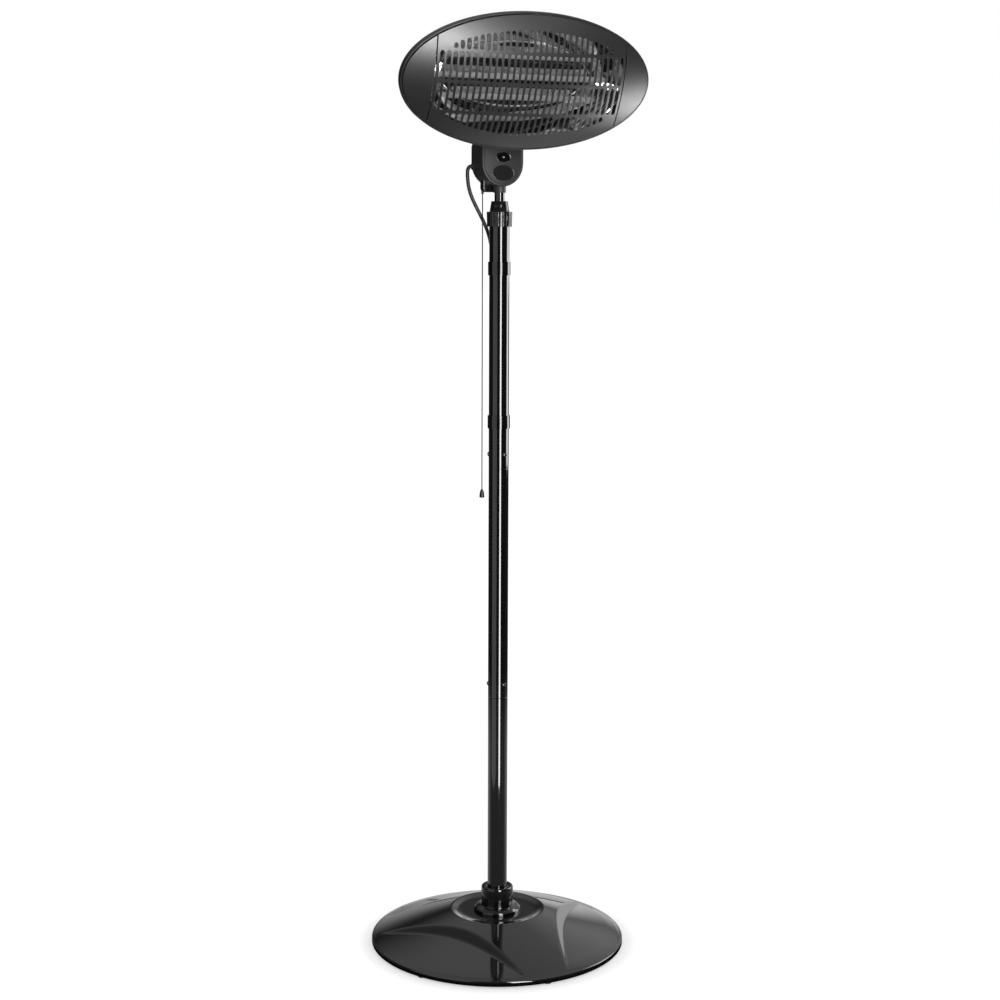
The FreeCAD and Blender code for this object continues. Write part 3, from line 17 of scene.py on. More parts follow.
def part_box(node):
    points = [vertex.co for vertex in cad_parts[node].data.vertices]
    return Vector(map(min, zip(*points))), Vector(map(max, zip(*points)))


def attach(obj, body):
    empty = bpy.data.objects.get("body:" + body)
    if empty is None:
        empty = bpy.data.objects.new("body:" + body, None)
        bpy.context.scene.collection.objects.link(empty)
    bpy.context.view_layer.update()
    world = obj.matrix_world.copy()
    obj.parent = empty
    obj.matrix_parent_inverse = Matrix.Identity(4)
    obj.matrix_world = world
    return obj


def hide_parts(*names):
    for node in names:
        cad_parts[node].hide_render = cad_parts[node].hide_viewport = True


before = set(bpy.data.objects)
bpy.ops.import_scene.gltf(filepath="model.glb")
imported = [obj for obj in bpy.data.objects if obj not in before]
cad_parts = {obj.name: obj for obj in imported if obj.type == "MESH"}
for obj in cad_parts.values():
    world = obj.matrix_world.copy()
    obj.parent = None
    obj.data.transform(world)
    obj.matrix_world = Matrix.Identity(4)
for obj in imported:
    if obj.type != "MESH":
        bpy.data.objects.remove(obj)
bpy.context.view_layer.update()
LOG = logging.getLogger("patio_heater")
MM = 0.001

Point = tuple[float, float, float]
Pair = tuple[float, float]
Profile = tuple[Pair, ...]
Fade = tuple[Pair, Pair]
Colour = tuple[float, float, float, float]
Piece = bpy.types.Object
Mesh = bpy.types.Mesh


class Body(Enum):
    """Bodies that carry the pieces made here."""

    STAND = "stand"
    COLLAR = "collar"
    MAST = "mast"
    PULL = "pull"
    HEAD = "head"


class Reach(Enum):
    """Pieces that a reflected card reaches."""

    STAND = "all but the head"
    HEAD = "the head"
    INSIDE = "tub and tubes"


PIECES: dict[Body, list[Piece]] = {body: [] for body in Body}


def corners(node: str) -> tuple[Vector, Vector]:
    """Lowest and highest corner of a solid, in millimetres."""
    low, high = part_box(node)
    return low / MM, high / MM


class Wire:
    """A node's output that takes part in Python arithmetic."""

    def __init__(self, tree: "Tree", socket: bpy.types.NodeSocket) -> None:
        """Keep the tree and the socket."""
        self.tree = tree
        self.socket = socket

    def _math(self, operation: str, first: Any, second: Any) -> "Wire":
        """One Math node on two values."""
        return self.tree.node("ShaderNodeMath", {"operation": operation}, {0: first, 1: second})

    def __add__(self, other: Any) -> "Wire":
        """Sum."""
        return self._math("ADD", self, other)

    def __sub__(self, other: Any) -> "Wire":
        """Difference."""
        return self._math("SUBTRACT", self, other)

    def __rsub__(self, other: Any) -> "Wire":
        """Difference from a number."""
        return self._math("SUBTRACT", other, self)

    def __mul__(self, other: Any) -> "Wire":
        """Product."""
        return self._math("MULTIPLY", self, other)

    def maximum(self, other: Any) -> "Wire":
        """The larger of two values."""
        return self._math("MAXIMUM", self, other)

    __radd__ = __add__
    __rmul__ = __mul__


class Tree:
    """A node tree that is emptied and filled again."""

    def __init__(self, tree: bpy.types.NodeTree) -> None:
        """Empty the tree."""
        self.tree = tree
        tree.nodes.clear()

    def node(self, kind: str, settings: dict[str, Any] | None = None, inputs: dict[Any, Any] | None = None,
             output: Any = 0) -> Wire:
        """Add a node.

        Args:
            kind: Blender's node type.
            settings: properties, set first.
            inputs: values or wires by socket name or number.
            output: name or number of the socket handed back.

        Returns:
            The chosen output, or the first input of a node that has no outputs.
        """
        node = self.tree.nodes.new(kind)
        for name, value in (settings or {}).items():
            setattr(node, name, value)
        for name, value in (inputs or {}).items():
            if isinstance(value, Wire):
                self.tree.links.new(value.socket, node.inputs[name])
            else:
                node.inputs[name].default_value = value
        socket = node.outputs[output] if len(node.outputs) else node.inputs[0]
        return Wire(self, socket)

    def place(self, kind: str = "Object") -> Wire:
        """Texture coordinates of one kind."""
        return self.node("ShaderNodeTexCoord", output=kind)

    def noise(self, scale: float, stretch: Point = (1, 1, 1), detail: float = 3) -> Wire:
        """Noise in object space, stretched along the axes."""
        place = self.node("ShaderNodeMapping", None, {"Vector": self.place(), "Scale": stretch})
        return self.node("ShaderNodeTexNoise", None, {"Vector": place, "Scale": scale, "Detail": detail})

    def bands(self, axis: str, scale: float, waver: float) -> Wire:
        """Soft bands across one axis."""
        inputs = {"Vector": self.place(), "Scale": scale, "Distortion": waver}
        return self.node("ShaderNodeTexWave", {"bands_direction": axis}, inputs)

    def blend(self, share: Any, first: Any, second: Any) -> Wire:
        """Mix two colours."""
        return self.node("ShaderNodeMix", {"data_type": "RGBA"}, {0: share, 6: first, 7: second}, 2)

    def dot(self, first: Wire, second: Vector) -> Wire:
        """How far a vector goes along a direction."""
        settings = {"operation": "DOT_PRODUCT"}
        return self.node("ShaderNodeVectorMath", settings, {0: first, 1: second}, "Value")

    def fade(self, value: Wire, ranges: Fade) -> Wire:
        """A value carried smoothly from one range to another.

        Args:
            value: what is carried.
            ranges: the range it comes from and the range it goes to.

        Returns:
            The carried value, held at the ends of its range.
        """
        (low, high), (first, last) = ranges
        inputs = {"Value": value, "From Min": low, "From Max": high, "To Min": first, "To Max": last}
        return self.node("ShaderNodeMapRange", {"interpolation_type": "SMOOTHSTEP"}, inputs)

    def ray(self, kind: str) -> Wire:
        """One for rays of one kind."""
        return self.node("ShaderNodeLightPath", output=kind)

    def seen(self) -> Wire:
        """One for rays from the camera and through glass."""
        return self.ray("Is Camera Ray").maximum(self.ray("Is Transmission Ray"))


def shade(level: float, tint: Point = (1, 1, 1)) -> Colour:
    """A colour of one level with a slight tint."""
    return (level * tint[0], level * tint[1], level * tint[2], 1.0)


GRAIN_HEIGHT = 0.0002
COAT_ROUGHNESS = 0.03


@dataclass(frozen=True)
class Finish:
    """A surface finish: two close colours, a roughness that wanders and a fine grain."""

    name: str
    slot: str
    colour: float = 0.02
    spread: float = 0.35
    tint: Point = (1.0, 1.0, 1.02)
    rough: float = 0.4
    rough_spread: float = 0.08
    metallic: float = 0.0
    coat: float = 0.0
    grain: float = 900.0
    grain_depth: float = 0.06
    stretch: Point = (1, 1, 1)
    patch: float = 14.0

    def material(self) -> bpy.types.Material:
        """Make the material once.

        Returns:
            The material.
        """
        known = bpy.data.materials.get(self.name)
        if known:
            return known
        material = bpy.data.materials.new(self.name)
        material.use_nodes = True
        tree = Tree(material.node_tree)
        tree.node("ShaderNodeOutputMaterial", None, {"Surface": self.shader(tree)})
        return material

    def tone(self, share: float) -> Colour:
        """The colour, lighter or darker by a share of itself."""
        return shade(self.colour * (1 + share), self.tint)

    def shader(self, tree: Tree) -> Wire:
        """Fill the tree.

        Args:
            tree: the material's tree.

        Returns:
            The shader.
        """
        patches = tree.noise(self.patch, self.stretch)
        grain = tree.noise(self.grain, self.stretch, detail=2)
        colour = tree.blend(patches, self.tone(-self.spread), self.tone(self.spread))
        return self.principled(tree, colour, patches, grain)

    def principled(self, tree: Tree, colour: Wire, patches: Wire, grain: Wire) -> Wire:
        """The Principled shader with this finish's roughness and grain.

        Args:
            tree: the material's tree.
            colour: the base colour.
            patches: broad noise that the roughness follows.
            grain: fine heights.

        Returns:
            The shader.
        """
        rough = patches * (2 * self.rough_spread) + (self.rough - self.rough_spread)
        heights = {"Strength": self.grain_depth, "Distance": GRAIN_HEIGHT, "Height": grain}
        bump = tree.node("ShaderNodeBump", None, heights)
        sockets = {"Base Color": colour, "Roughness": rough, "Normal": bump, "Metallic": self.metallic,
                   "Coat Weight": self.coat, "Coat Roughness": COAT_ROUGHNESS}
        return tree.node("ShaderNodeBsdfPrincipled", None, sockets)


@dataclass(frozen=True)
class Quartz(Finish):
    """Milky quartz with the wound wire showing through as faint bands."""

    pitch: float = 0.0035
    waver: float = 0.4
    band_length: float = 0.314

    def shader(self, tree: Tree) -> Wire:
        """Bands along X under a glossy skin; at scale 1 a band is as long as band_length says.

        Args:
            tree: the material's tree.

        Returns:
            The shader.
        """
        bands = tree.bands("X", self.band_length / self.pitch, self.waver)
        colour = tree.blend(bands, self.tone(-self.spread), self.tone(0))
        return self.principled(tree, colour, tree.noise(self.patch), tree.noise(self.grain))


@dataclass(frozen=True)
class Braid(Finish):
    """A braided cord or a moulded jacket with fine ribs round it."""

    ribs: float = 800.0
    waver: float = 1.5

    def shader(self, tree: Tree) -> Wire:
        """Ribs along Z on a dark ground.

        Args:
            tree: the material's tree.

        Returns:
            The shader.
        """
        patches = tree.noise(self.patch)
        colour = tree.blend(patches, self.tone(-self.spread), self.tone(self.spread))
        return self.principled(tree, colour, patches, tree.bands("Z", self.ribs, self.waver))


GLOSS = Finish("gloss black coat", "gloss_black_paint", 0.006, 0.25, rough=0.07, rough_spread=0.02,
               coat=0.6, grain=260, grain_depth=0.0012)
SATIN = Finish("satin black paint", "satin_black_paint", 0.02, 0.12, rough=0.34, rough_spread=0.03,
               grain=2600, grain_depth=0.08)
MOULDING = Finish("black moulding", "black_moulding", 0.012, 0.2, rough=0.15, rough_spread=0.04,
                  grain=1800, grain_depth=0.04)
HOUSING = Finish("grained housing", "housing", 0.019, 0.12, rough=0.5, rough_spread=0.04,
                 grain=2200, grain_depth=0.16)
GLOSS_MOULDING = Finish("gloss moulding", "gloss_moulding", 0.004, 0.2, rough=0.13, coat=0.4,
                        grain=400, grain_depth=0.02)
RUBBER = Finish("foot rubber", "rubber", 0.02, 0.3, rough=0.7, grain=1500, grain_depth=0.2)
JACKET = Braid("lead jacket", "lead_jacket", 0.01, 0.2, rough=0.5, grain_depth=0.03, ribs=350)
LINE = Braid("pull line", "pull_line", 0.012, 0.3, rough=0.8, grain_depth=0.5, ribs=1100)
PLUG = Finish("plug moulding", "plug_moulding", 0.018, 0.2, rough=0.45, grain=1500, grain_depth=0.12)
PINS = Finish("nickel pins", "pin_metal", 0.75, 0.06, (1, 0.98, 0.94), 0.2, 0.05, metallic=1.0,
              grain=600, grain_depth=0.03)
ZINC = Finish("zinc plate", "zinc", 0.6, 0.12, (0.98, 1, 1.03), 0.32, 0.08, metallic=1.0,
              grain=700, grain_depth=0.06)
SCREW = Finish("black screw", "black_screw", 0.02, 0.3, rough=0.3, metallic=0.4, grain_depth=0.05)
BALLAST = Finish("cement casing", "ballast", 0.1, 0.25, rough=0.8, grain=500, grain_depth=0.3)
SHEET = Finish("bright rolled sheet", "reflector_sheet", 0.82, 0.05, (0.99, 1, 1.01), 0.05, 0.02,
               metallic=1.0, grain=120, grain_depth=0.015, stretch=(0.06, 1, 3), patch=60)
QUARTZ = Quartz("milky quartz", "quartz", 0.45, 0.3, (1, 0.99, 0.97), 0.25, coat=0.5, grain_depth=0.01)
COIL = Finish("resistance wire", "coil", 0.3, 0.2, (1, 0.95, 0.9), 0.5, metallic=0.8)
CERAMIC = Finish("white ceramic", "ceramic", 0.7, 0.08, (1, 0.99, 0.96), 0.6, grain_depth=0.1)
SWITCH = Finish("switch moulding", "switch_body", 0.65, 0.05, (1, 0.97, 0.9), 0.5)
LENS = Finish("smoked lens", "lens", 0.01, 0.3, rough=0.12, coat=0.5, grain=300, grain_depth=0.01)
# Small dome on the dark indicator lens; its near-white colour is a painted highlight standing in for the
# glint on the domed lens.
LAMP_PAINTED_HIGHLIGHT = Finish("indicator lamp painted highlight", "lens", 0.8, 0.1, (1, 0.98, 0.96), 0.12, 0.04, coat=0.8, grain_depth=0.01)
BADGE = Finish("plain dark badge", "badge", 0.012, 0.3, rough=0.3, rough_spread=0.05, coat=0.2,
               grain=1400, grain_depth=0.06)
BELL = Finish("bell moulding", "bell", 0.01, 0.3, rough=0.4, grain=1200, grain_depth=0.05)

CARRIED = {
    RUBBER: ["rubber_feet", "cable_gland"],
    BALLAST: ["base_weight"],
    GLOSS: ["pole_flange"],
    ZINC: ["flange_bolts", "tilt_bolt"],
    SCREW: ["lower_joint_screws", "upper_joint_screws", "housing_screws", "bracket_screws"],
    GLOSS_MOULDING: ["lower_cord_clip", "upper_cord_clip"],
    MOULDING: ["collet", "tube_guide", "cord_guide", "tilt_knob"],
    SWITCH: ["pull_switch"],
    PLUG: ["plug_body"],
    PINS: ["plug_pins"],
    SATIN: ["tilt_yoke", "tilt_bracket"],
    COIL: ["heating_coils"],
    CERAMIC: ["left_element_holder", "right_element_holder"],
}


def dress_carried() -> None:
    """Give every solid that stays its own finish."""
    for finish, nodes in CARRIED.items():
        for name in nodes:
            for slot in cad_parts[name].material_slots:
                slot.material = finish.material()
            LOG.info("%s carried over", name)


def settled(piece: Piece, finish: Finish, body: Body, *nodes: str) -> Piece:
    """Give a piece its finish and its body, and hide the solids it stands for.

    Args:
        piece: a mesh or a curve, in place.
        finish: its surface.
        body: what it moves with.
        nodes: solids that it stands for.

    Returns:
        The piece.
    """
    bpy.context.scene.collection.objects.link(piece)
    piece.data.materials.append(finish.material())
    PIECES[body].append(piece)
    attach(piece, body.value)
    if nodes:
        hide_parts(*nodes)
    LOG.info("%s on %s", piece.name, body.value)
    return piece


def finished(mesh: Mesh, finish: Finish, body: Body, *nodes: str, crease: float = 32) -> Piece:
    """Turn a mesh into a finished piece of the same name.

    Args:
        mesh: the piece's mesh, in place.
        finish: its surface.
        body: what it moves with.
        nodes: solids that it stands for.
        crease: edges sharper than this angle stay crisp.

    Returns:
        The piece.
    """
    mesh.shade_smooth()
    mesh.set_sharp_from_angle(angle=math.radians(crease))
    return settled(bpy.data.objects.new(mesh.name, mesh), finish, body, *nodes)


def loft(name: str, rings: Sequence[Sequence[Point]], first: bool = True, last: bool = True) -> Mesh:
    """Skin closed rings of equal counts.

    Args:
        name: the mesh's name.
        rings: the rings in millimetres, in order.
        first: fill the first ring.
        last: fill the last ring.

    Returns:
        The mesh, in metres.
    """
    count = len(rings[0])
    points = [[value * MM for value in point] for ring in rings for point in ring]
    faces = []
    for start in range(0, len(points) - count, count):
        for i in range(count):
            after = (i + 1) % count
            faces.append((start + i, start + after, start + count + after, start + count + i))
    if first:
        faces.append(tuple(reversed(range(count))))
    if last:
        faces.append(tuple(range(len(points) - count, len(points))))
    mesh = bpy.data.meshes.new(name)
    mesh.from_pydata(points, [], faces)
    build = bmesh.new()
    build.from_mesh(mesh)
    bmesh.ops.recalc_face_normals(build, faces=build.faces)
    build.to_mesh(mesh)
    build.free()
    return mesh


def arc(centre: Pair, radius: float, start: float, sweep: float, steps: int) -> list[Pair]:
    """Points of an arc, both ends included."""
    turns = [start + sweep * i / steps for i in range(steps + 1)]
    return [(centre[0] + radius * math.cos(turn), centre[1] + radius * math.sin(turn)) for turn in turns]


def ellipse(width: float, height: float, sides: int) -> list[Pair]:
    """Points round an ellipse about the origin."""
    turns = [math.tau * i / sides for i in range(sides)]
    return [(width * math.cos(turn), height * math.sin(turn)) for turn in turns]


def lathe(name: str, profile: Sequence[Pair], base: float, centre: Pair = (0, 0), sides: int = 96,
          flute: Callable[[float, float], float] = lambda turn, height: 0.0) -> Mesh:
    """Turn a closed profile about a vertical axis.

    Args:
        name: the mesh's name.
        profile: radius and height of each ring.
        base: height that the profile stands on.
        centre: where the axis stands.
        sides: points round each ring.
        flute: change of radius at an angle and a height of the profile.

    Returns:
        The mesh.
    """
    rings = []
    for radius, height in [*profile, profile[0]]:
        ring = []
        for i in range(sides):
            turn = math.tau * i / sides
            reach = radius + flute(turn, height)
            x, y = centre[0] + reach * math.cos(turn), centre[1] + reach * math.sin(turn)
            ring.append((x, y, base + height))
        rings.append(ring)
    return loft(name, rings, False, False)


def soft_least(first: float, second: float, blend: float) -> float:
    """The smaller of two values, blended where they meet."""
    share = max(blend - abs(first - second), 0) / blend
    return min(first, second) - share * share * blend / 4


def soft_most(first: float, second: float, blend: float) -> float:
    """The larger of two values, blended where they meet."""
    return -soft_least(-first, -second, blend)


@dataclass
class SwirlBase:
    """Pressed round base with three crescent steps, and the hub on top."""

    radius: float = corners("base_cover")[1].x
    lift: float = corners("base_cover")[0].z
    rise: float = 7
    bevel: float = 3
    bevel_steps: int = 6
    lip: float = 0.6
    sheet: float = 1.8
    flange: float = 22
    bore: float = 18
    shoulder: Pair = (92, corners("base_cover")[1].z)
    dish: Pair = (78, corners("flange_cover")[0].z)
    dish_ease: float = 5
    arc: float = 1400
    petals: tuple[float, ...] = (87, 207, 327)
    reach: float = 117
    edge_height: float = 59
    slope: float = 49
    drop: float = 16
    petal_end: Pair = (232, 17.6)
    crease: float = 2.4
    crease_end: float = 12
    least_crease: float = 0.01
    dish_rings: int = 6
    slope_rings: int = 88
    sides: int = 540
    hub_profile: Profile = (
        (43.1, 0), (44.9, 0), (45.5, 0.6), (45.5, 4.6), (45, 6), (43.6, 7.2), (41.6, 8.6), (40.4, 9.8),
        (39, 10.3), (32.4, 10.4), (31.3, 11), (31, 12), (31, 13), (31, 45), (31, 45.8), (30.7, 47.6),
        (29.9, 49), (28.6, 49.8), (27, 50), (20.6, 50), (19.6, 49.6), (19.2, 48.8), (19.2, 46),
        (28.6, 46), (28.6, 7.8), (38.6, 7.6), (43.1, 3.6))

    @property
    def edge(self) -> Pair:
        """Radius and height where the dome meets the rolled rim."""
        return (self.radius - self.bevel, self.lift + self.rise + self.bevel)

    def crown(self, radius: float) -> float:
        """The dome without its steps: a dish, a shoulder and a long arc.

        Args:
            radius: distance from the pole's axis.

        Returns:
            The height.
        """
        if radius <= self.shoulder[0]:
            start = self.dish[0] - self.dish_ease
            share = min(max((radius - start) / (self.shoulder[0] - start), 0), 1)
            return self.dish[1] + (self.shoulder[1] - self.dish[1]) * share * share * (3 - 2 * share)
        run, fall = self.edge[0] - self.shoulder[0], self.shoulder[1] - self.edge[1]
        chord = math.hypot(run, fall)
        back = math.sqrt(self.arc**2 - chord**2 / 4) / chord
        across = (self.edge[0] + self.shoulder[0]) / 2 - fall * back
        level = (self.edge[1] + self.shoulder[1]) / 2 - run * back
        return level + math.sqrt(self.arc**2 - (radius - across) ** 2)

    def height(self, radius: float, turn: float) -> float:
        """The pressed surface, steps included.

        Args:
            radius: distance from the pole's axis.
            turn: angle round it.

        Returns:
            The height.
        """
        level = self.crown(radius)
        if radius < self.dish[0]:
            return level
        inner = self.shoulder[1] - self.drop
        run = (radius - self.shoulder[0]) / (self.petal_end[0] - self.shoulder[0])
        valley = inner + (self.petal_end[1] - inner) * max(run, 0)
        blend = self.crease * min((self.edge[0] - radius) / self.crease_end, 1) + self.least_crease
        for petal in self.petals:
            along = radius * math.cos(turn - math.radians(petal))
            facet = self.edge_height - (along - self.reach) * math.tan(math.radians(self.slope))
            level = soft_least(level, soft_most(facet, valley, blend), blend)
        return level

    def ring(self, radius: float, level: Callable[[float], float]) -> list[Point]:
        """A ring whose height depends on the angle."""
        turns = [math.tau * i / self.sides for i in range(self.sides)]
        return [(radius * math.cos(turn), radius * math.sin(turn), level(turn)) for turn in turns]

    def cover(self) -> None:
        """The pressed sheet: top, rolled rim, flange and underside."""
        edge, dish = self.edge[0], self.dish[0]
        radii = [self.bore + (dish - self.bore) * i / self.dish_rings for i in range(self.dish_rings)]
        radii += [dish + (edge - dish) * i / self.slope_rings for i in range(self.slope_rings + 1)]
        rings = [self.ring(radius, lambda turn: self.height(radius, turn)) for radius in radii]
        inner, under, quarter = self.radius - self.flange, self.lift + self.sheet, math.pi / 2
        rim = arc((edge, self.lift + self.rise), self.bevel, quarter, -quarter, self.bevel_steps)[1:]
        rim += [(self.radius, self.lift + self.lip), (self.radius - self.lip, self.lift),
                (inner, self.lift), (inner, under), (self.radius - self.sheet, under)]
        rings += [self.ring(radius, lambda turn: level) for radius, level in rim]
        for radius in reversed(radii):
            rings.append(self.ring(radius, lambda turn: self.height(radius, turn) - self.sheet))
        mesh = loft("pressed_base", rings, False, False)
        finished(mesh, GLOSS, Body.STAND, "base_cover", crease=50)

    def build(self) -> None:
        """Make the base's pieces."""
        self.cover()
        hub = lathe("hub_cover", self.hub_profile, self.dish[1])
        finished(hub, GLOSS_MOULDING, Body.STAND, "flange_cover", crease=40)


@dataclass
class Pole:
    """Three pole tubes, the telescopic tube and its lock."""

    names: tuple[str, ...] = ("pole_lower", "pole_middle", "pole_upper")
    wall: float = 1.2
    ease: float = 0.6
    nip: float = 0.17
    hold: float = 1.4
    flutes: int = 18
    flute_depth: float = 0.6
    flute_sharpness: int = 8
    flute_ends: Pair = (0.5, 27)
    collar_sides: int = 216
    collar_profile: Profile = (
        (19.35, 0), (22.4, 0), (23, 0.3), (23.2, 0.9), (23.6, 14), (24, 26.5), (23.8, 27.2), (23.2, 27.5),
        (19.4, 27.5), (18.8, 27.7), (18.4, 28.3), (16.9, 37.5), (15.6, 46.1), (15.3, 46.75), (14.7, 47),
        (9.9, 47), (9.9, 44.4), (12, 44.4), (14.9, 25.5), (19.35, 25.3))
    neck_profile: Profile = (
        (9.7, 0), (11.4, 0), (11.85, 0.2), (12, 0.7), (12, 1.6), (12, 46), (8.3, 46), (8.3, 34), (9.7, 34))

    def tube(self, name: str, high: float, body: Body) -> None:
        """One tube with eased ends, and rings beside them that keep the long side straight.

        Args:
            name: the solid that the tube stands for.
            high: the upper end, below any spigot.
            body: what it moves with.
        """
        low, radius = corners(name)[0].z, corners(name)[1].x
        end = [(radius - self.wall, 0), (radius - self.ease, 0), (radius - self.nip, self.nip),
               (radius, self.ease), (radius, self.hold)]
        profile = [*end, *((reach, high - low - rise) for reach, rise in reversed(end))]
        finished(lathe(f"{name}_tube", profile, low), GLOSS, body, name)

    def flute(self, turn: float, height: float) -> float:
        """Depth of the grip flutes round the collar's skirt."""
        grip = max(0, math.cos(turn * self.flutes)) ** self.flute_sharpness
        return -self.flute_depth * grip if self.flute_ends[0] < height < self.flute_ends[1] else 0.0

    def build(self) -> None:
        """Make the pole's pieces: tubes, twist-lock collar and the socket under the housing."""
        ends = [corners(name)[0].z for name in self.names[1:]] + [corners(self.names[-1])[1].z]
        for name, high in zip(self.names, ends):
            self.tube(name, high, Body.STAND)
        self.tube("inner_tube", corners("inner_tube")[1].z, Body.MAST)
        low = corners("lock_collar")[0].z
        lock = lathe("twist_lock", self.collar_profile, low, sides=self.collar_sides, flute=self.flute)
        finished(lock, MOULDING, Body.COLLAR, "lock_collar", crease=40)
        neck = lathe("mast_neck", self.neck_profile, corners("neck_socket")[0].z)
        finished(neck, HOUSING, Body.MAST, "neck_socket")


@dataclass
class SwitchHousing:
    """Two-part housing with a raised face, an indicator and a plain badge.

    Profiles are pairs of an inset from the outline and a depth or a height.
    """

    half: float = corners("housing_front")[1].x
    split: float = corners("housing_rear")[0].y
    rear: float = corners("housing_rear")[1].y
    lobe_low: float = corners("housing_rear")[0].z
    lobe_drop: float = 10
    height: float = 82.5
    corner: float = 10
    front: float = 14.4
    bottom_steps: int = 20
    corner_steps: int = 8
    front_seam: Profile = ((2.2, 0), (0.3, 0), (0, 0.3), (0, 1.2))
    rear_seam: Profile = ((2.2, 0.15), (0.4, 0.15), (0.1, 0.5), (0, 0.9), (0, 1.8))
    rounding: Profile = ((0, 4), (0, 3), (0.25, 1.8), (0.9, 0.85), (1.9, 0.2), (3, 0))
    raised: Profile = ((4.9, 0), (5.05, 0.2), (5.2, 0.9), (5.5, 1.25), (6.2, 1.4))
    lobe_ends: Pair = (-29, 16)
    lobe_corner: float = 8
    lobe_rise: float = 30
    lobe_depth: float = 25
    lobe_seam: Profile = ((1.2, 0.1), (0.35, 0.4), (0, 1.2))
    lobe_rounding: Profile = ((0, 2.8), (0.8, 0.8), (2.8, 0))
    oval_sides: int = 64
    lens_rise: float = 54
    lens_size: Pair = (14.5, 8)
    lens_profile: Profile = (
        (-1, -0.4), (-1, 0.1), (-0.6, 0.45), (-0.1, 0.5), (0.4, 0.2), (0.8, 0), (5, 0.3), (7.4, 0.4))
    lamp_size: Pair = (2.1, 2.1)
    lamp_profile: Profile = ((0, 0), (0.05, 0.6), (0.4, 1.2), (0.9, 1.6), (1.5, 1.8))
    badge_rise: float = 25
    badge_size: Pair = (23, 14)
    badge_profile: Profile = (
        (0, -0.4), (0, 0.55), (0.12, 0.85), (0.45, 1), (1.2, 1), (1.5, 0.8), (2, 0.75), (9, 0.95),
        (13.2, 1))

    @property
    def bottom(self) -> float:
        """Height of the lowest point of both covers."""
        return self.lobe_low + self.lobe_drop

    def outline(self, inset: float) -> list[Pair]:
        """Front view: straight sides on a half-round bottom, with rounded top corners.

        Args:
            inset: how far inside the largest outline.

        Returns:
            Places across and up.
        """
        half, corner, quarter = self.half - inset, self.corner, math.pi / 2
        level = self.bottom + self.height - inset - corner
        points = arc((0, self.bottom + self.half), half, math.pi, math.pi, self.bottom_steps)
        points += arc((half - corner, level), corner, 0, quarter, self.corner_steps)
        return points + arc((corner - half, level), corner, quarter, quarter, self.corner_steps)

    def shell(self, name: str, stations: Sequence[Pair], node: str) -> None:
        """One half, lofted through insets and depths."""
        rings = [[(x, depth, z) for x, z in self.outline(inset)] for inset, depth in stations]
        finished(loft(name, rings), HOUSING, Body.MAST, node, crease=38)

    def covers(self) -> None:
        """The front half with its raised face, and the rear half."""
        stations = [(inset, self.split - depth) for inset, depth in self.front_seam]
        stations += [(inset, depth - self.front) for inset, depth in self.rounding]
        stations += [(inset, -self.front - height) for inset, height in self.raised]
        self.shell("front_cover", stations, "housing_front")
        stations = [(inset, self.split + depth) for inset, depth in self.rear_seam]
        stations += [(inset, self.rear - depth) for inset, depth in self.rounding]
        self.shell("rear_cover", stations, "housing_rear")

    def lobe(self) -> None:
        """Rounded foot of the rear half, where the pull cord comes out."""
        (left, right), corner, quarter = self.lobe_ends, self.lobe_corner, math.pi / 2
        level, high = self.lobe_low + corner, self.bottom + self.lobe_rise
        stations = [(inset, self.split + depth) for inset, depth in self.lobe_seam]
        stations += [(inset, self.lobe_depth - depth) for inset, depth in self.lobe_rounding]
        rings = []
        for inset, depth in stations:
            points = []
            for across, start in ((left + corner, 2 * quarter), (right - corner, 3 * quarter)):
                points += arc((across, level), corner - inset, start, quarter, self.corner_steps)
            points += [(right - inset, high), (left + inset, high)]
            rings.append([(x, depth, z) for x, z in points])
        # The lobe takes the darker black moulding instead of the housing's finish, though it is the same
        # moulding as the rear cover: painted shade under the housing.
        finished(loft("rear_lobe_painted_shade", rings), MOULDING, Body.MAST, crease=38)

    def oval(self, name: str, rise: float, size: Pair, profile: Profile, finish: Finish,
             *nodes: str) -> None:
        """A small oval on the raised face.

        Args:
            name: the piece's name.
            rise: height of its middle above the housing's bottom.
            size: half its width and half its height.
            profile: insets and heights above the face.
            finish: its surface.
            nodes: solids that it stands for.
        """
        face, level = -self.front - self.raised[-1][1], self.bottom + rise
        rings = []
        for inset, proud in profile:
            points = ellipse(size[0] - inset, size[1] - inset, self.oval_sides)
            rings.append([(x, face - proud, level + z) for x, z in points])
        finished(loft(name, rings), finish, Body.MAST, *nodes, crease=40)

    def build(self) -> None:
        """Make the housing's pieces."""
        self.covers()
        self.lobe()
        self.oval("indicator_window", self.lens_rise, self.lens_size, self.lens_profile, LENS,
                  "indicator_lens")
        # The near-white dome on the lens is a painted highlight.
        self.oval("indicator_lamp_painted_highlight", self.lens_rise, self.lamp_size, self.lamp_profile, LAMP_PAINTED_HIGHLIGHT)
        self.oval("bare_badge", self.badge_rise, self.badge_size, self.badge_profile, BADGE, "badge_plate")


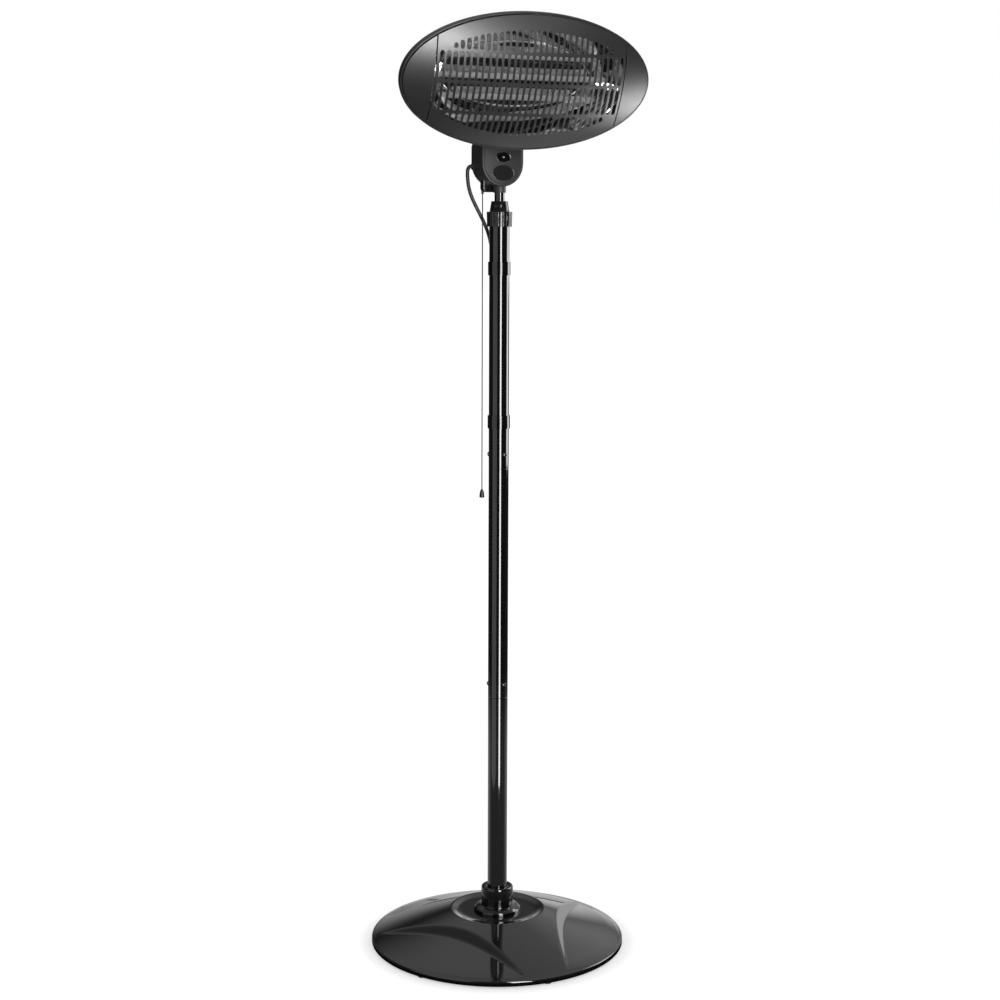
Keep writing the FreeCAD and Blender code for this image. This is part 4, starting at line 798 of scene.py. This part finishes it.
@dataclass
class OvalHead:
    """Tilting oval head: shell, slotted front, reflector and tubes.

    It is made upright in its own frame, with the rim's plane at depth 0, and then leant to its place.
    """

    half_width: float = corners("rear_shell")[1].x
    half_height: float = 125
    lean: float = math.radians(18.5)
    hinge: Pair = (6, 1625)
    reach: float = 102
    rise: float = 60
    sides: int = 256
    bead: Profile = ((4, 1.4), (4, -3.4), (3.8, -3.8), (3.4, -4), (0.8, -4), (0.25, -3.75), (0, -3.2),
                     (0, 2.6), (0.2, 3.1), (0.6, 3.4))
    bowl_inset: float = 1
    bowl_depth: float = 80
    bowl_reach: float = 94
    bowl_steps: int = 48
    back_ease: float = 0.6
    back: Profile = ((0.8, 0.2), (2, 0), (30, 0), (60, 0))
    panel: Pair = (245.8, 120.8)
    panel_steps: int = 60
    least_panel_steps: int = 12
    least_gap: float = 0.01
    crown: float = 23
    skirt: float = 5.5
    slope_step: float = 0.5
    plate: float = 1.5
    plate_ease: float = 0.35
    plate_bevel_steps: int = 2
    weld: float = 0.002
    cut_reach: tuple[int, int] = (246, 120)
    cut_step: tuple[int, int] = (12, 8)
    front_tolerance: float = 0.02
    cap_line: float = 190
    cap_gap: float = 1.8
    columns: int = 31
    rows: int = 4
    column_pitch: float = 12
    row_pitch: float = 55
    slot: float = 7.6
    slot_steps: int = 8
    slot_spacing: float = 6
    web: float = 5
    margin: float = 30
    tub_sides: int = 160
    tub_steps: int = 13
    tub_lip: tuple[Point, ...] = (
        (245.6, 120.6, 0.3), (202, 106, 0.3), (200.6, 104.6, 0.6), (199.6, 103.7, 1.4))
    tub_mouth: Point = (200, 104, 0.4)
    tub_foot: Point = (150, 60, 54.4)
    tub_back: tuple[Point, ...] = (
        (152, 61.6, 53.2), (150, 59.8, 54.6), (147.4, 57.4, 55.2), (140, 52, 55.4), (70, 25, 55.4),
        (12, 5, 55.4))
    tubes: tuple[tuple[str, float], ...] = (
        ("top_quartz_tube", 37.5), ("middle_quartz_tube", 0), ("bottom_quartz_tube", -37.5))
    tube_depth: float = 32
    tube_sides: int = 32
    tube_profile: Profile = (
        (4.2, -192), (5.1, -192), (5.4, -191.7), (5.5, -191.2), (5.5, 191.2), (5.4, 191.7), (5.1, 192),
        (4.2, 192))

    def placed(self) -> Matrix:
        """Where the head stands.

        Returns:
            The step from the head's frame to the heater's, in metres.
        """
        hinge = Matrix.Translation(Vector((0, *self.hinge)) * MM)
        middle = Matrix.Translation(Vector((0, -self.reach, self.rise)) * MM)
        return hinge @ Matrix.Rotation(self.lean, 4, "X") @ middle

    def ring(self, width: float, height: float, depth: float, sides: int) -> list[Point]:
        """An upright oval ring."""
        return [(x, depth, z) for x, z in ellipse(width, height, sides)]

    def dress(self, mesh: Mesh, finish: Finish, node: str, crease: float = 32) -> Piece:
        """Carry a mesh from the head's frame to its place and finish it."""
        mesh.transform(self.placed())
        return finished(mesh, finish, Body.HEAD, node, crease=crease)

    def bowl_share(self, depth: float) -> float:
        """Share of the rim's size that the bowl has at a depth."""
        return math.sqrt(1 - (depth / self.bowl_reach) ** 2)

    def shell(self) -> None:
        """Bowl with a beaded rim and a flat back."""
        width, height = self.half_width, self.half_height
        stations = [(width - inset, height - inset, depth) for inset, depth in self.bead]
        width, height, start = width - self.bowl_inset, height - self.bowl_inset, self.bead[-1][1]
        for step in range(self.bowl_steps + 1):
            depth = start + (self.bowl_depth - start) * math.sin(math.pi / 2 * step / self.bowl_steps)
            share = self.bowl_share(depth)
            stations.append((width * share, height * share, min(depth, self.bowl_depth - self.back_ease)))
        share = self.bowl_share(self.bowl_depth)
        for inset, ahead in self.back:
            stations.append((width * share - inset, height * share - inset, self.bowl_depth - ahead))
        rings = [self.ring(*station, self.sides) for station in stations]
        self.dress(loft("rear_bowl", rings, first=False), SATIN, "rear_shell", crease=45)

    def front(self, x: float, z: float) -> float:
        """Depth of the crowned front.

        Args:
            x: place across.
            z: place up.

        Returns:
            The depth.
        """
        across = (self.panel[0] ** 2 + self.crown**2) / (2 * self.crown)
        upright = (self.panel[1] ** 2 + self.crown**2) / (2 * self.crown)
        reach = across - upright + math.sqrt(upright**2 - z * z)
        return across - self.skirt - self.crown - math.sqrt(reach**2 - x * x)

    def facing(self, x: float, z: float) -> Vector:
        """Outward normal of the crowned front.

        Args:
            x: place across.
            z: place up.

        Returns:
            The normal, in the head's frame.
        """
        step = self.slope_step
        slope_x = (self.front(x + step, z) - self.front(x - step, z)) / (2 * step)
        slope_z = (self.front(x, z + step) - self.front(x, z - step)) / (2 * step)
        return Vector((slope_x, -1, slope_z)).normalized()

    def slots(self) -> list[list[Pair]]:
        """Round-ended upright slots inside an oval line.

        Returns:
            The loop of each slot.
        """
        width, height = self.half_width - self.margin, self.half_height - self.margin
        loops = []
        for column in range(self.columns):
            x = (column - (self.columns - 1) / 2) * self.column_pitch
            limit = height * math.sqrt(1 - (x / width) ** 2)
            for row in range(-self.rows // 2, self.rows // 2):
                low = max(row * self.row_pitch + self.web / 2, -limit)
                high = min((row + 1) * self.row_pitch - self.web / 2, limit)
                if high - low >= self.slot:
                    loops.append(self.stadium(x, low, high))
        return loops

    def stadium(self, x: float, low: float, high: float) -> list[Pair]:
        """A round-ended slot with points along its sides.

        Args:
            x: the slot's middle line.
            low: its lower end.
            high: its upper end.

        Returns:
            The slot's loop.
        """
        half = self.slot / 2
        first, length = low + half, high - low - self.slot
        count = max(int(length / self.slot_spacing), 1)
        side = [first + length * i / count for i in range(1, count)]
        loop = arc((x, first), half, math.pi, math.pi, self.slot_steps)
        loop += [(x + half, level) for level in side]
        loop += arc((x, high - half), half, 0, math.pi, self.slot_steps)
        return loop + [(x - half, level) for level in reversed(side)]

    def plate_mesh(self, name: str, loops: Sequence[Sequence[Pair]]) -> Mesh:
        """A plate with eased edges laid on the crowned front.

        Args:
            name: the mesh's name.
            loops: the outline, then any holes.

        Returns:
            The mesh, in the head's frame, in metres.
        """
        curve = bpy.data.curves.new(name, "CURVE")
        curve.dimensions = "2D"
        curve.fill_mode = "BOTH"
        curve.bevel_depth = self.plate_ease
        curve.bevel_resolution = self.plate_bevel_steps
        curve.offset = -self.plate_ease
        curve.extrude = self.plate / 2 - self.plate_ease
        for loop in loops:
            spline = curve.splines.new("POLY")
            spline.points.add(len(loop) - 1)
            spline.use_cyclic_u = True
            for point, (x, z) in zip(spline.points, loop):
                point.co = (x, z, 0, 1)
        holder = bpy.data.objects.new(name, curve)
        bpy.context.scene.collection.objects.link(holder)
        mesh = bpy.data.meshes.new_from_object(holder.evaluated_get(bpy.context.evaluated_depsgraph_get()))
        bpy.data.objects.remove(holder)
        bpy.data.curves.remove(curve)
        mesh.name = name
        self.bend(mesh)
        return mesh

    def bend(self, mesh: Mesh) -> None:
        """Lay a flat plate in millimetres on the crowned front, in metres.

        Args:
            mesh: the plate, which is changed.
        """
        build = bmesh.new()
        build.from_mesh(mesh)
        bmesh.ops.remove_doubles(build, verts=build.verts, dist=self.weld)
        for axis, reach, step in zip((Vector((1, 0, 0)), Vector((0, 1, 0))), self.cut_reach, self.cut_step):
            for place in range(-reach, reach + 1, step):
                everything = [*build.verts, *build.edges, *build.faces]
                bmesh.ops.bisect_plane(build, geom=everything, plane_co=axis * place, plane_no=axis)
        for vert in build.verts:
            x, z, out = vert.co
            vert.co = Vector((x, self.front(x, z) + self.plate / 2 - out, z)) * MM
        bmesh.ops.recalc_face_normals(build, faces=build.faces)
        build.to_mesh(mesh)
        build.free()

    def smooth_front(self, piece: Piece) -> None:
        """Give a plate's broad faces the crown's own normals.

        Args:
            piece: the plate, in place.
        """
        mesh, turn, back = piece.data, self.placed().to_3x3(), self.placed().inverted()
        facing = {}
        for vert in mesh.vertices:
            spot = (back @ vert.co) / MM
            if abs(spot.y - self.front(spot.x, spot.z)) < self.front_tolerance:
                facing[vert.index] = (turn @ self.facing(spot.x, spot.z)).normalized()
        normals = [Vector((0, 0, 0))] * len(mesh.loops)
        for face in mesh.polygons:
            if all(vert in facing for vert in face.vertices):
                for loop, vert in zip(face.loop_indices, face.vertices):
                    normals[loop] = facing[vert]
        mesh.normals_split_custom_set(normals)

    def oval_cut(self, low: float, high: float) -> list[Pair]:
        """The panel's outline between two upright lines.

        Args:
            low: the left line.
            high: the right line.

        Returns:
            The outline's loop.
        """
        width, height = self.panel
        first, last = (math.acos(max(-1, min(1, line / width))) for line in (high, low))
        steps = max(int((last - first) * self.panel_steps), self.least_panel_steps)
        turns = [first + (last - first) * i / steps for i in range(steps + 1)]
        upper = [(width * math.cos(turn), height * math.sin(turn)) for turn in turns]
        loop = [*upper, *((x, -z) for x, z in reversed(upper))]
        return [point for i, point in enumerate(loop) if math.dist(point, loop[i - 1]) > self.least_gap]

    def panels(self) -> None:
        """The slotted middle and the two plain end caps."""
        inner, outer = self.cap_line - self.cap_gap / 2, self.cap_line + self.cap_gap / 2
        spans = {"front_grille": (-inner, inner), "left_end_cap": (-self.panel[0], -outer),
                 "right_end_cap": (outer, self.panel[0])}
        for node, (low, high) in spans.items():
            holes = self.slots() if node == "front_grille" else []
            mesh = self.plate_mesh(f"{node}_plate", [self.oval_cut(low, high), *holes])
            self.smooth_front(self.dress(mesh, SATIN, node, crease=40))

    def reflector(self) -> None:
        """Bright oval tub behind the tubes."""
        stations = [*self.tub_lip]
        for step in range(1, self.tub_steps):
            share = step / self.tub_steps
            stations.append([a + (b - a) * share for a, b in zip(self.tub_mouth, self.tub_foot)])
        stations += self.tub_back
        rings = [self.ring(*station, self.tub_sides) for station in stations]
        self.dress(loft("bright_tub", rings, first=False), SHEET, "reflector", crease=30)

    def tube(self, node: str, level: float) -> None:
        """One quartz tube with eased ends.

        Args:
            node: the solid that the tube stands for.
            level: height of its middle line.
        """
        rings = []
        for radius, along in [*self.tube_profile, self.tube_profile[0]]:
            circle = ellipse(radius, radius, self.tube_sides)
            rings.append([(along, self.tube_depth + out, level + up) for out, up in circle])
        self.dress(loft(f"{node}_glass", rings, False, False), QUARTZ, node)

    def build(self) -> None:
        """Make the head's pieces."""
        self.shell()
        self.panels()
        self.reflector()
        for node, level in self.tubes:
            self.tube(node, level)


@dataclass
class Cords:
    """The mains lead with its hank and plug, and the pull cord with its bell; lengths are in metres."""

    round_steps: int = 5
    spline_steps: int = 10
    spline_order: int = 3
    lead_diameter: float = 7
    lead_length: float = 1.735
    pull_diameter: float = 2
    pull_length: float = 0.612
    pull_spot: Pair = (-25, 21)
    pull_levels: tuple[float, ...] = (1507, 1480, 1450, 1400, 1250, 1100, 960, 895)
    bell_profile: Profile = (
        (0.4, 0.8), (3.2, 0.8), (3.8, 0.3), (4.2, 0), (4.6, 0.2), (4.8, 0.8), (4.75, 3), (4.4, 8),
        (3.8, 11), (2.9, 13.4), (2.3, 14.8), (2.2, 15.4), (1.8, 15.9), (0.4, 16))
    bell_sides: int = 48
    hank_turn: float = 63.5
    hank_entry: Point = (-4.8, 30, 700)
    hank_inner: float = 29
    hank_fold: float = 21
    hank_levels: Pair = (572, 682)
    hank_pitch: float = 8
    hank_waist: float = 13
    hank_tied: float = 14
    hank_swell: float = 1
    hank_round: float = 4
    plug_lead: Point = (3, 40, 538)
    plug_spot: Point = (0, 42, 512)
    tie_half: float = 8.3
    tie_corner: float = 4
    tie_corner_steps: int = 5
    tie_section: Profile = ((0, -6), (1.1, -6), (1.5, -5.6), (1.5, -2), (1.2, -1.6), (1.2, 1.6), (1.5, 2),
                            (1.5, 5.6), (1.1, 6), (0, 6), (0, -6))
    route: tuple[Point, ...] = (
        (-44.2, 26, 1502), (-47.6, 26, 1502), (-51.1, 26, 1500), (-53.4, 26, 1495.6), (-54, 26, 1488.5),
        (-53.3, 26, 1477), (-51.2, 26.2, 1462.5), (-45.2, 26.8, 1446), (-34.6, 28, 1427),
        (-21.8, 29.6, 1406.5), (-9.6, 30.6, 1383.5), (-1.8, 29.9, 1356), (0, 28.5, 1324),
        (0, 28.5, 727), (0, 28.5, 715))

    def hank_point(self, across: float, out: float, level: float) -> Point:
        """A point of the hank: across, out from the pole and up."""
        side, ahead = math.sin(math.radians(self.hank_turn)), math.cos(math.radians(self.hank_turn))
        return (across * side + out * ahead, -across * ahead + out * side, level)

    def hank(self) -> list[Point]:
        """Control points of the folded spare length, drawn in at the waist.

        Returns:
            The points, from the pole down to the plug.
        """
        low, high = self.hank_levels
        below, above = (low + high) / 2 - self.hank_tied, (low + high) / 2 + self.hank_tied
        fold, waist, pitch, swell = self.hank_fold, self.hank_waist, self.hank_pitch, self.hank_swell
        inner, outer = self.hank_inner, self.hank_inner + 2 * fold
        near, far = inner + self.hank_round, outer - self.hank_round
        places = [self.hank_entry]
        for across in (-pitch, 0, pitch):
            places += [(across, inner - swell, high), (across, inner + waist, above),
                       (across, inner + waist, below), (across, inner - swell, low)]
            if across == pitch:
                break
            middle, after = across + pitch / 2, across + pitch
            places += [(across, near, low - fold), (across, far, low - fold), (across, outer + swell, low),
                       (middle, outer - waist, below), (middle, outer - waist, above),
                       (after, outer + swell, high), (after, far, high + fold), (after, near, high + fold)]
        return [self.hank_point(*place) for place in [*places, self.plug_lead, self.plug_spot]]

    def line(self, name: str, points: Sequence[Point], diameter: float) -> Piece:
        """A round cord on one smooth spline.

        Args:
            name: the cord's name.
            points: the spline's control points.
            diameter: the cord's thickness.

        Returns:
            The cord, not yet finished.
        """
        curve = bpy.data.curves.new(name, "CURVE")
        curve.dimensions = "3D"
        curve.bevel_depth = diameter / 2 * MM
        curve.bevel_resolution = self.round_steps
        curve.resolution_u = self.spline_steps
        curve.use_fill_caps = True
        spline = curve.splines.new("NURBS")
        spline.points.add(len(points) - 1)
        for point, spot in zip(spline.points, points):
            point.co = (*(value * MM for value in spot), 1)
        spline.order_u = self.spline_order
        spline.use_endpoint_u = True
        return bpy.data.objects.new(name, curve)

    def tie(self) -> Piece:
        """Strap round the hank's waist with a ridged face.

        Returns:
            The strap.
        """
        out, level = self.hank_inner + self.hank_fold, sum(self.hank_levels) / 2
        quarter = math.pi / 2
        rings = []
        for grow, rise in self.tie_section:
            half = self.tie_half + grow
            ring = []
            for start, (side, end) in enumerate(((1, 1), (-1, 1), (-1, -1), (1, -1))):
                centre = (side * half, end * half)
                ring += arc(centre, self.tie_corner, start * quarter, quarter, self.tie_corner_steps)
            rings.append([self.hank_point(y, out + x, level + rise) for x, y in ring])
        mesh = loft("strap_tie", rings, False, False)
        return finished(mesh, MOULDING, Body.MAST, "hank_tie", crease=40)

    def lead(self) -> None:
        """The mains lead from the gland to the plug."""
        cord = self.line("mains_lead_cord", [*self.route, *self.hank()], self.lead_diameter)
        settled(cord, JACKET, Body.MAST, "mains_lead", "lead_hank")
        on_it = [self.tie(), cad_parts["plug_body"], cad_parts["plug_pins"]]

    def pull(self) -> None:
        """The pull cord and its bell."""
        low = corners("pull_bell")[0].z
        mesh = lathe("bell_pull", self.bell_profile, low, self.pull_spot, self.bell_sides)
        bell = finished(mesh, BELL, Body.PULL, "pull_bell", crease=40)
        points = [(*self.pull_spot, level) for level in self.pull_levels]
        cord = self.line("pull_cord_line", points, self.pull_diameter)
        settled(cord, LINE, Body.PULL, "pull_cord")

    def build(self) -> None:
        self.lead()
        self.pull()


@dataclass(frozen=True)
class Card:
    """An upright card that only shows in reflections; degrees right of the camera's side, and metres."""

    name: str
    turn: float
    distance: float
    span: Pair
    width: float
    level: float
    reach: Reach


CARDS = (
    Card("right strip", turn=19.5, distance=1.05, span=(0, 1.8), width=0.3, level=14, reach=Reach.STAND),
    Card("rim strip", turn=113, distance=2.6, span=(0.6, 2.6), width=1.4, level=5, reach=Reach.STAND),
    Card("left card", turn=-47, distance=1.05, span=(0, 1.8), width=1.05, level=0.7, reach=Reach.STAND),
    Card("left glint", turn=30, distance=2.58, span=(1.25, 1.75), width=0.34, level=108, reach=Reach.HEAD),
    Card("right glint", turn=91, distance=1.97, span=(0.3, 0.88), width=0.5, level=34, reach=Reach.HEAD),
    Card("broad card", turn=50, distance=3, span=(1.8, 2.6), width=1.5, level=1.5, reach=Reach.HEAD),
    Card("left window", turn=-41, distance=2.5, span=(1, 2.2), width=1, level=8, reach=Reach.INSIDE),
    Card("front window", turn=10, distance=3, span=(2.2, 3.2), width=1.6, level=4, reach=Reach.HEAD),
)


@dataclass
class Studio:
    """Pale floor, soft lights and the camera, in metres and degrees.

    A fade is the range that a value comes from and the range that it is carried to.
    """

    azimuth: float = 26.5
    distance: float = 3.61
    eye: float = 1.411
    down: float = 8.44
    roll: float = 0.2
    lens: float = 68.95
    sensor: float = 36
    shift: float = 0.0015
    floor_half: float = 30
    paper: Pair = (0.86, 0.9)
    paper_patch: float = 3
    white: float = 1.05
    shadow: Fade = ((0.25, 0.285), (0.55, 1))
    pool_start: Fade = ((0.25, 0.34), (0, 1))
    pool_end: Fade = ((1.2, 2.4), (0.6, 0.03))
    pool_side: Fade = ((-0.2, 0.3), (0.3, 1))
    backdrop_turn: float = 155
    ceiling_rise: Fade = ((0.3, 0.8), (0.02, 0.5))
    ceiling_back: Fade = ((-0.6, 0.5), (0.35, 1))
    backdrop_back: Fade = ((0.4, 0.9), (0, 0.9))
    backdrop_rise: Fade = ((0.08, 0.35), (1, 0.12))
    backdrop_side: Fade = ((-0.15, 0.05), (0.5, 1))
    panel_side: Fade = ((0, 0.2), (0, 0.6))
    panel_rise: Fade = ((0.15, 0.45), (0.3, 1))
    panel_back: Fade = ((0.3, 0.8), (0, 1))
    soft_light: float = 0.45

    def bearing(self, turn: float, distance: float, height: float) -> Vector:
        """A spot seen from the pole, turned right from the camera's side."""
        angle = math.radians(-90 - self.azimuth + turn)
        return Vector((distance * math.cos(angle), distance * math.sin(angle), height))

    @staticmethod
    def group(reach: Reach) -> bpy.types.Collection:
        """The head's pieces as a group that a lamp keeps to or leaves out.

        Args:
            reach: what the lamp reaches.

        Returns:
            The group.
        """
        group = bpy.data.collections.new(reach.value)
        for piece in PIECES[Body.HEAD]:
            if reach is not Reach.INSIDE or piece.name.endswith(("tub", "glass")):
                group.objects.link(piece)
        for member in group.collection_objects:
            member.light_linking.link_state = "EXCLUDE" if reach is Reach.STAND else "INCLUDE"
        return group

    def lamp(self, name: str, spot: Vector, aim: Vector, size: Pair, level: float,
             group: bpy.types.Collection | None = None, mirrored: bool = False) -> None:
        """A soft box of one brightness.

        Args:
            name: the lamp's name.
            spot: where it stands.
            aim: what it faces.
            size: its width and height.
            level: its brightness, where white paper is one.
            group: what it keeps to or leaves out; without one it reaches all.
            mirrored: seen in reflections only; otherwise it lights matt surfaces only.
        """
        light = bpy.data.lights.new(name, "AREA")
        light.shape = "RECTANGLE"
        light.size, light.size_y = size
        light.energy = level * math.pi * size[0] * size[1]
        lamp = bpy.data.objects.new(name, light)
        lamp.location = spot
        lamp.rotation_euler = (aim - spot).to_track_quat("-Z", "Y").to_euler()
        lamp.visible_camera = False
        lamp.visible_glossy = mirrored
        lamp.visible_diffuse = not mirrored
        lamp.light_linking.receiver_collection = group
        bpy.context.scene.collection.objects.link(lamp)

    def lamps(self) -> None:
        """Cards for the reflections in the gloss and in the head, and soft boxes for the matt surfaces."""
        groups = {reach: self.group(reach) for reach in Reach}
        for card in CARDS:
            low, high = card.span
            middle = (low + high) / 2
            self.lamp(card.name, spot=self.bearing(card.turn, card.distance, middle),
                      aim=Vector((0, 0, middle)), size=(card.width, high - low), level=card.level,
                      group=groups[card.reach], mirrored=True)
        floor = Vector((0.85, -0.4, 0.02))
        self.lamp("floor card", spot=floor, aim=floor + Vector((0, 0, 1)), size=(0.9, 0.9), level=1.2,
                  group=groups[Reach.HEAD], mirrored=True)
        self.lamp("tube box", spot=self.bearing(-35, 0.8, 1.75), aim=Vector((0, 0, 1.65)), size=(0.3, 0.3),
                  level=34, group=groups[Reach.INSIDE])
        self.lamp("right box", spot=self.bearing(35, 3, 2.8), aim=Vector((0, 0, 1)), size=(1.8, 1.8),
                  level=2.9)
        self.lamp("top box", spot=Vector((0.2, 0.4, 3.3)), aim=Vector((0, 0, 0.6)), size=(2.2, 2.2),
                  level=2)

    def floor(self) -> None:
        """A large pale floor that keeps the shadow close to the base and turns plain white further out."""
        half = self.floor_half
        points = [(-half, -half, 0), (half, -half, 0), (half, half, 0), (-half, half, 0)]
        mesh = bpy.data.meshes.new("floor")
        mesh.from_pydata(points, [], [range(len(points))])
        floor = bpy.data.objects.new("floor", mesh)
        bpy.context.scene.collection.objects.link(floor)
        material = bpy.data.materials.new("pale floor")
        material.use_nodes = True
        mesh.materials.append(material)
        tree = Tree(material.node_tree)
        place = tree.place()
        away = tree.node("ShaderNodeVectorMath", {"operation": "LENGTH"}, {0: place}, "Value")
        beyond = tree.dot(place, self.bearing(180, 1, 0))
        sheet = tree.blend(tree.noise(self.paper_patch), shade(self.paper[0]), shade(self.paper[1]))
        paper = tree.node("ShaderNodeBsdfDiffuse", None, {"Color": sheet})
        pool = tree.fade(away, self.pool_start) * tree.fade(away, self.pool_end)
        pool = pool * tree.fade(beyond, self.pool_side)
        dim = tree.node("ShaderNodeEmission", None, {"Color": shade(1), "Strength": pool})
        matt = tree.node("ShaderNodeMixShader", None, {0: tree.ray("Is Glossy Ray"), 1: paper, 2: dim})
        glow = tree.node("ShaderNodeEmission", None, {"Color": shade(1), "Strength": self.white})
        plain = tree.seen() * tree.fade(away, self.shadow)
        mixed = tree.node("ShaderNodeMixShader", None, {0: plain, 1: matt, 2: glow})
        tree.node("ShaderNodeOutputMaterial", None, {"Surface": mixed})

    def world(self) -> None:
        """White where it is seen; in reflections a ceiling, a backdrop and a panel; elsewhere a soft grey."""
        world = bpy.data.worlds.new("studio")
        bpy.context.scene.world = world
        world.use_nodes = True
        tree = Tree(world.node_tree)
        way = tree.place("Generated")
        up = tree.node("ShaderNodeSeparateXYZ", None, {"Vector": way}, "Z")
        back = tree.dot(way, self.bearing(self.backdrop_turn, 1, 0))
        right = tree.dot(way, self.bearing(90, 1, 0))
        seen, glossy = tree.seen(), tree.ray("Is Glossy Ray")
        ceiling = tree.fade(up, self.ceiling_rise) * tree.fade(back, self.ceiling_back)
        backdrop = tree.fade(back, self.backdrop_back) * tree.fade(up, self.backdrop_rise)
        backdrop = backdrop * tree.fade(right, self.backdrop_side)
        panel = tree.fade(right, self.panel_side) * tree.fade(up, self.panel_rise)
        panel = panel * tree.fade(back, self.panel_back)
        around = glossy * ceiling.maximum(backdrop).maximum(panel) + (1 - glossy) * self.soft_light
        level = seen + (1 - seen) * around
        ground = tree.node("ShaderNodeBackground", None, {"Color": shade(1), "Strength": level})
        tree.node("ShaderNodeOutputWorld", None, {"Surface": ground})

    def camera(self) -> None:
        """The photograph's viewpoint."""
        data = bpy.data.cameras.new("camera")
        data.lens = self.lens
        data.sensor_width = self.sensor
        data.shift_x = self.shift
        camera = bpy.data.objects.new("camera", data)
        camera.location = self.bearing(0, self.distance, self.eye)
        aim = Matrix.Identity(3)
        for angle, axis in ((-self.azimuth, "Z"), (90 - self.down, "X"), (self.roll, "Z")):
            aim = aim @ Matrix.Rotation(math.radians(angle), 3, axis)
        camera.rotation_euler = aim.to_euler()
        bpy.context.scene.collection.objects.link(camera)
        bpy.context.scene.camera = camera

    def build(self) -> None:
        """Set the studio up."""
        bpy.context.scene.view_settings.view_transform = "Standard"
        self.floor()
        self.world()
        self.lamps()
        self.camera()


def main() -> None:
    """Build every class in order and note each as done."""
    logging.basicConfig(level=logging.INFO, format="%(name)s: %(message)s")
    dress_carried()
    for assembly in (SwirlBase(), Pole(), SwitchHousing(), OvalHead(), Cords(), Studio()):
        assembly.build()
        LOG.info("%s done", type(assembly).__name__)


if __name__ == "__main__":
    main()
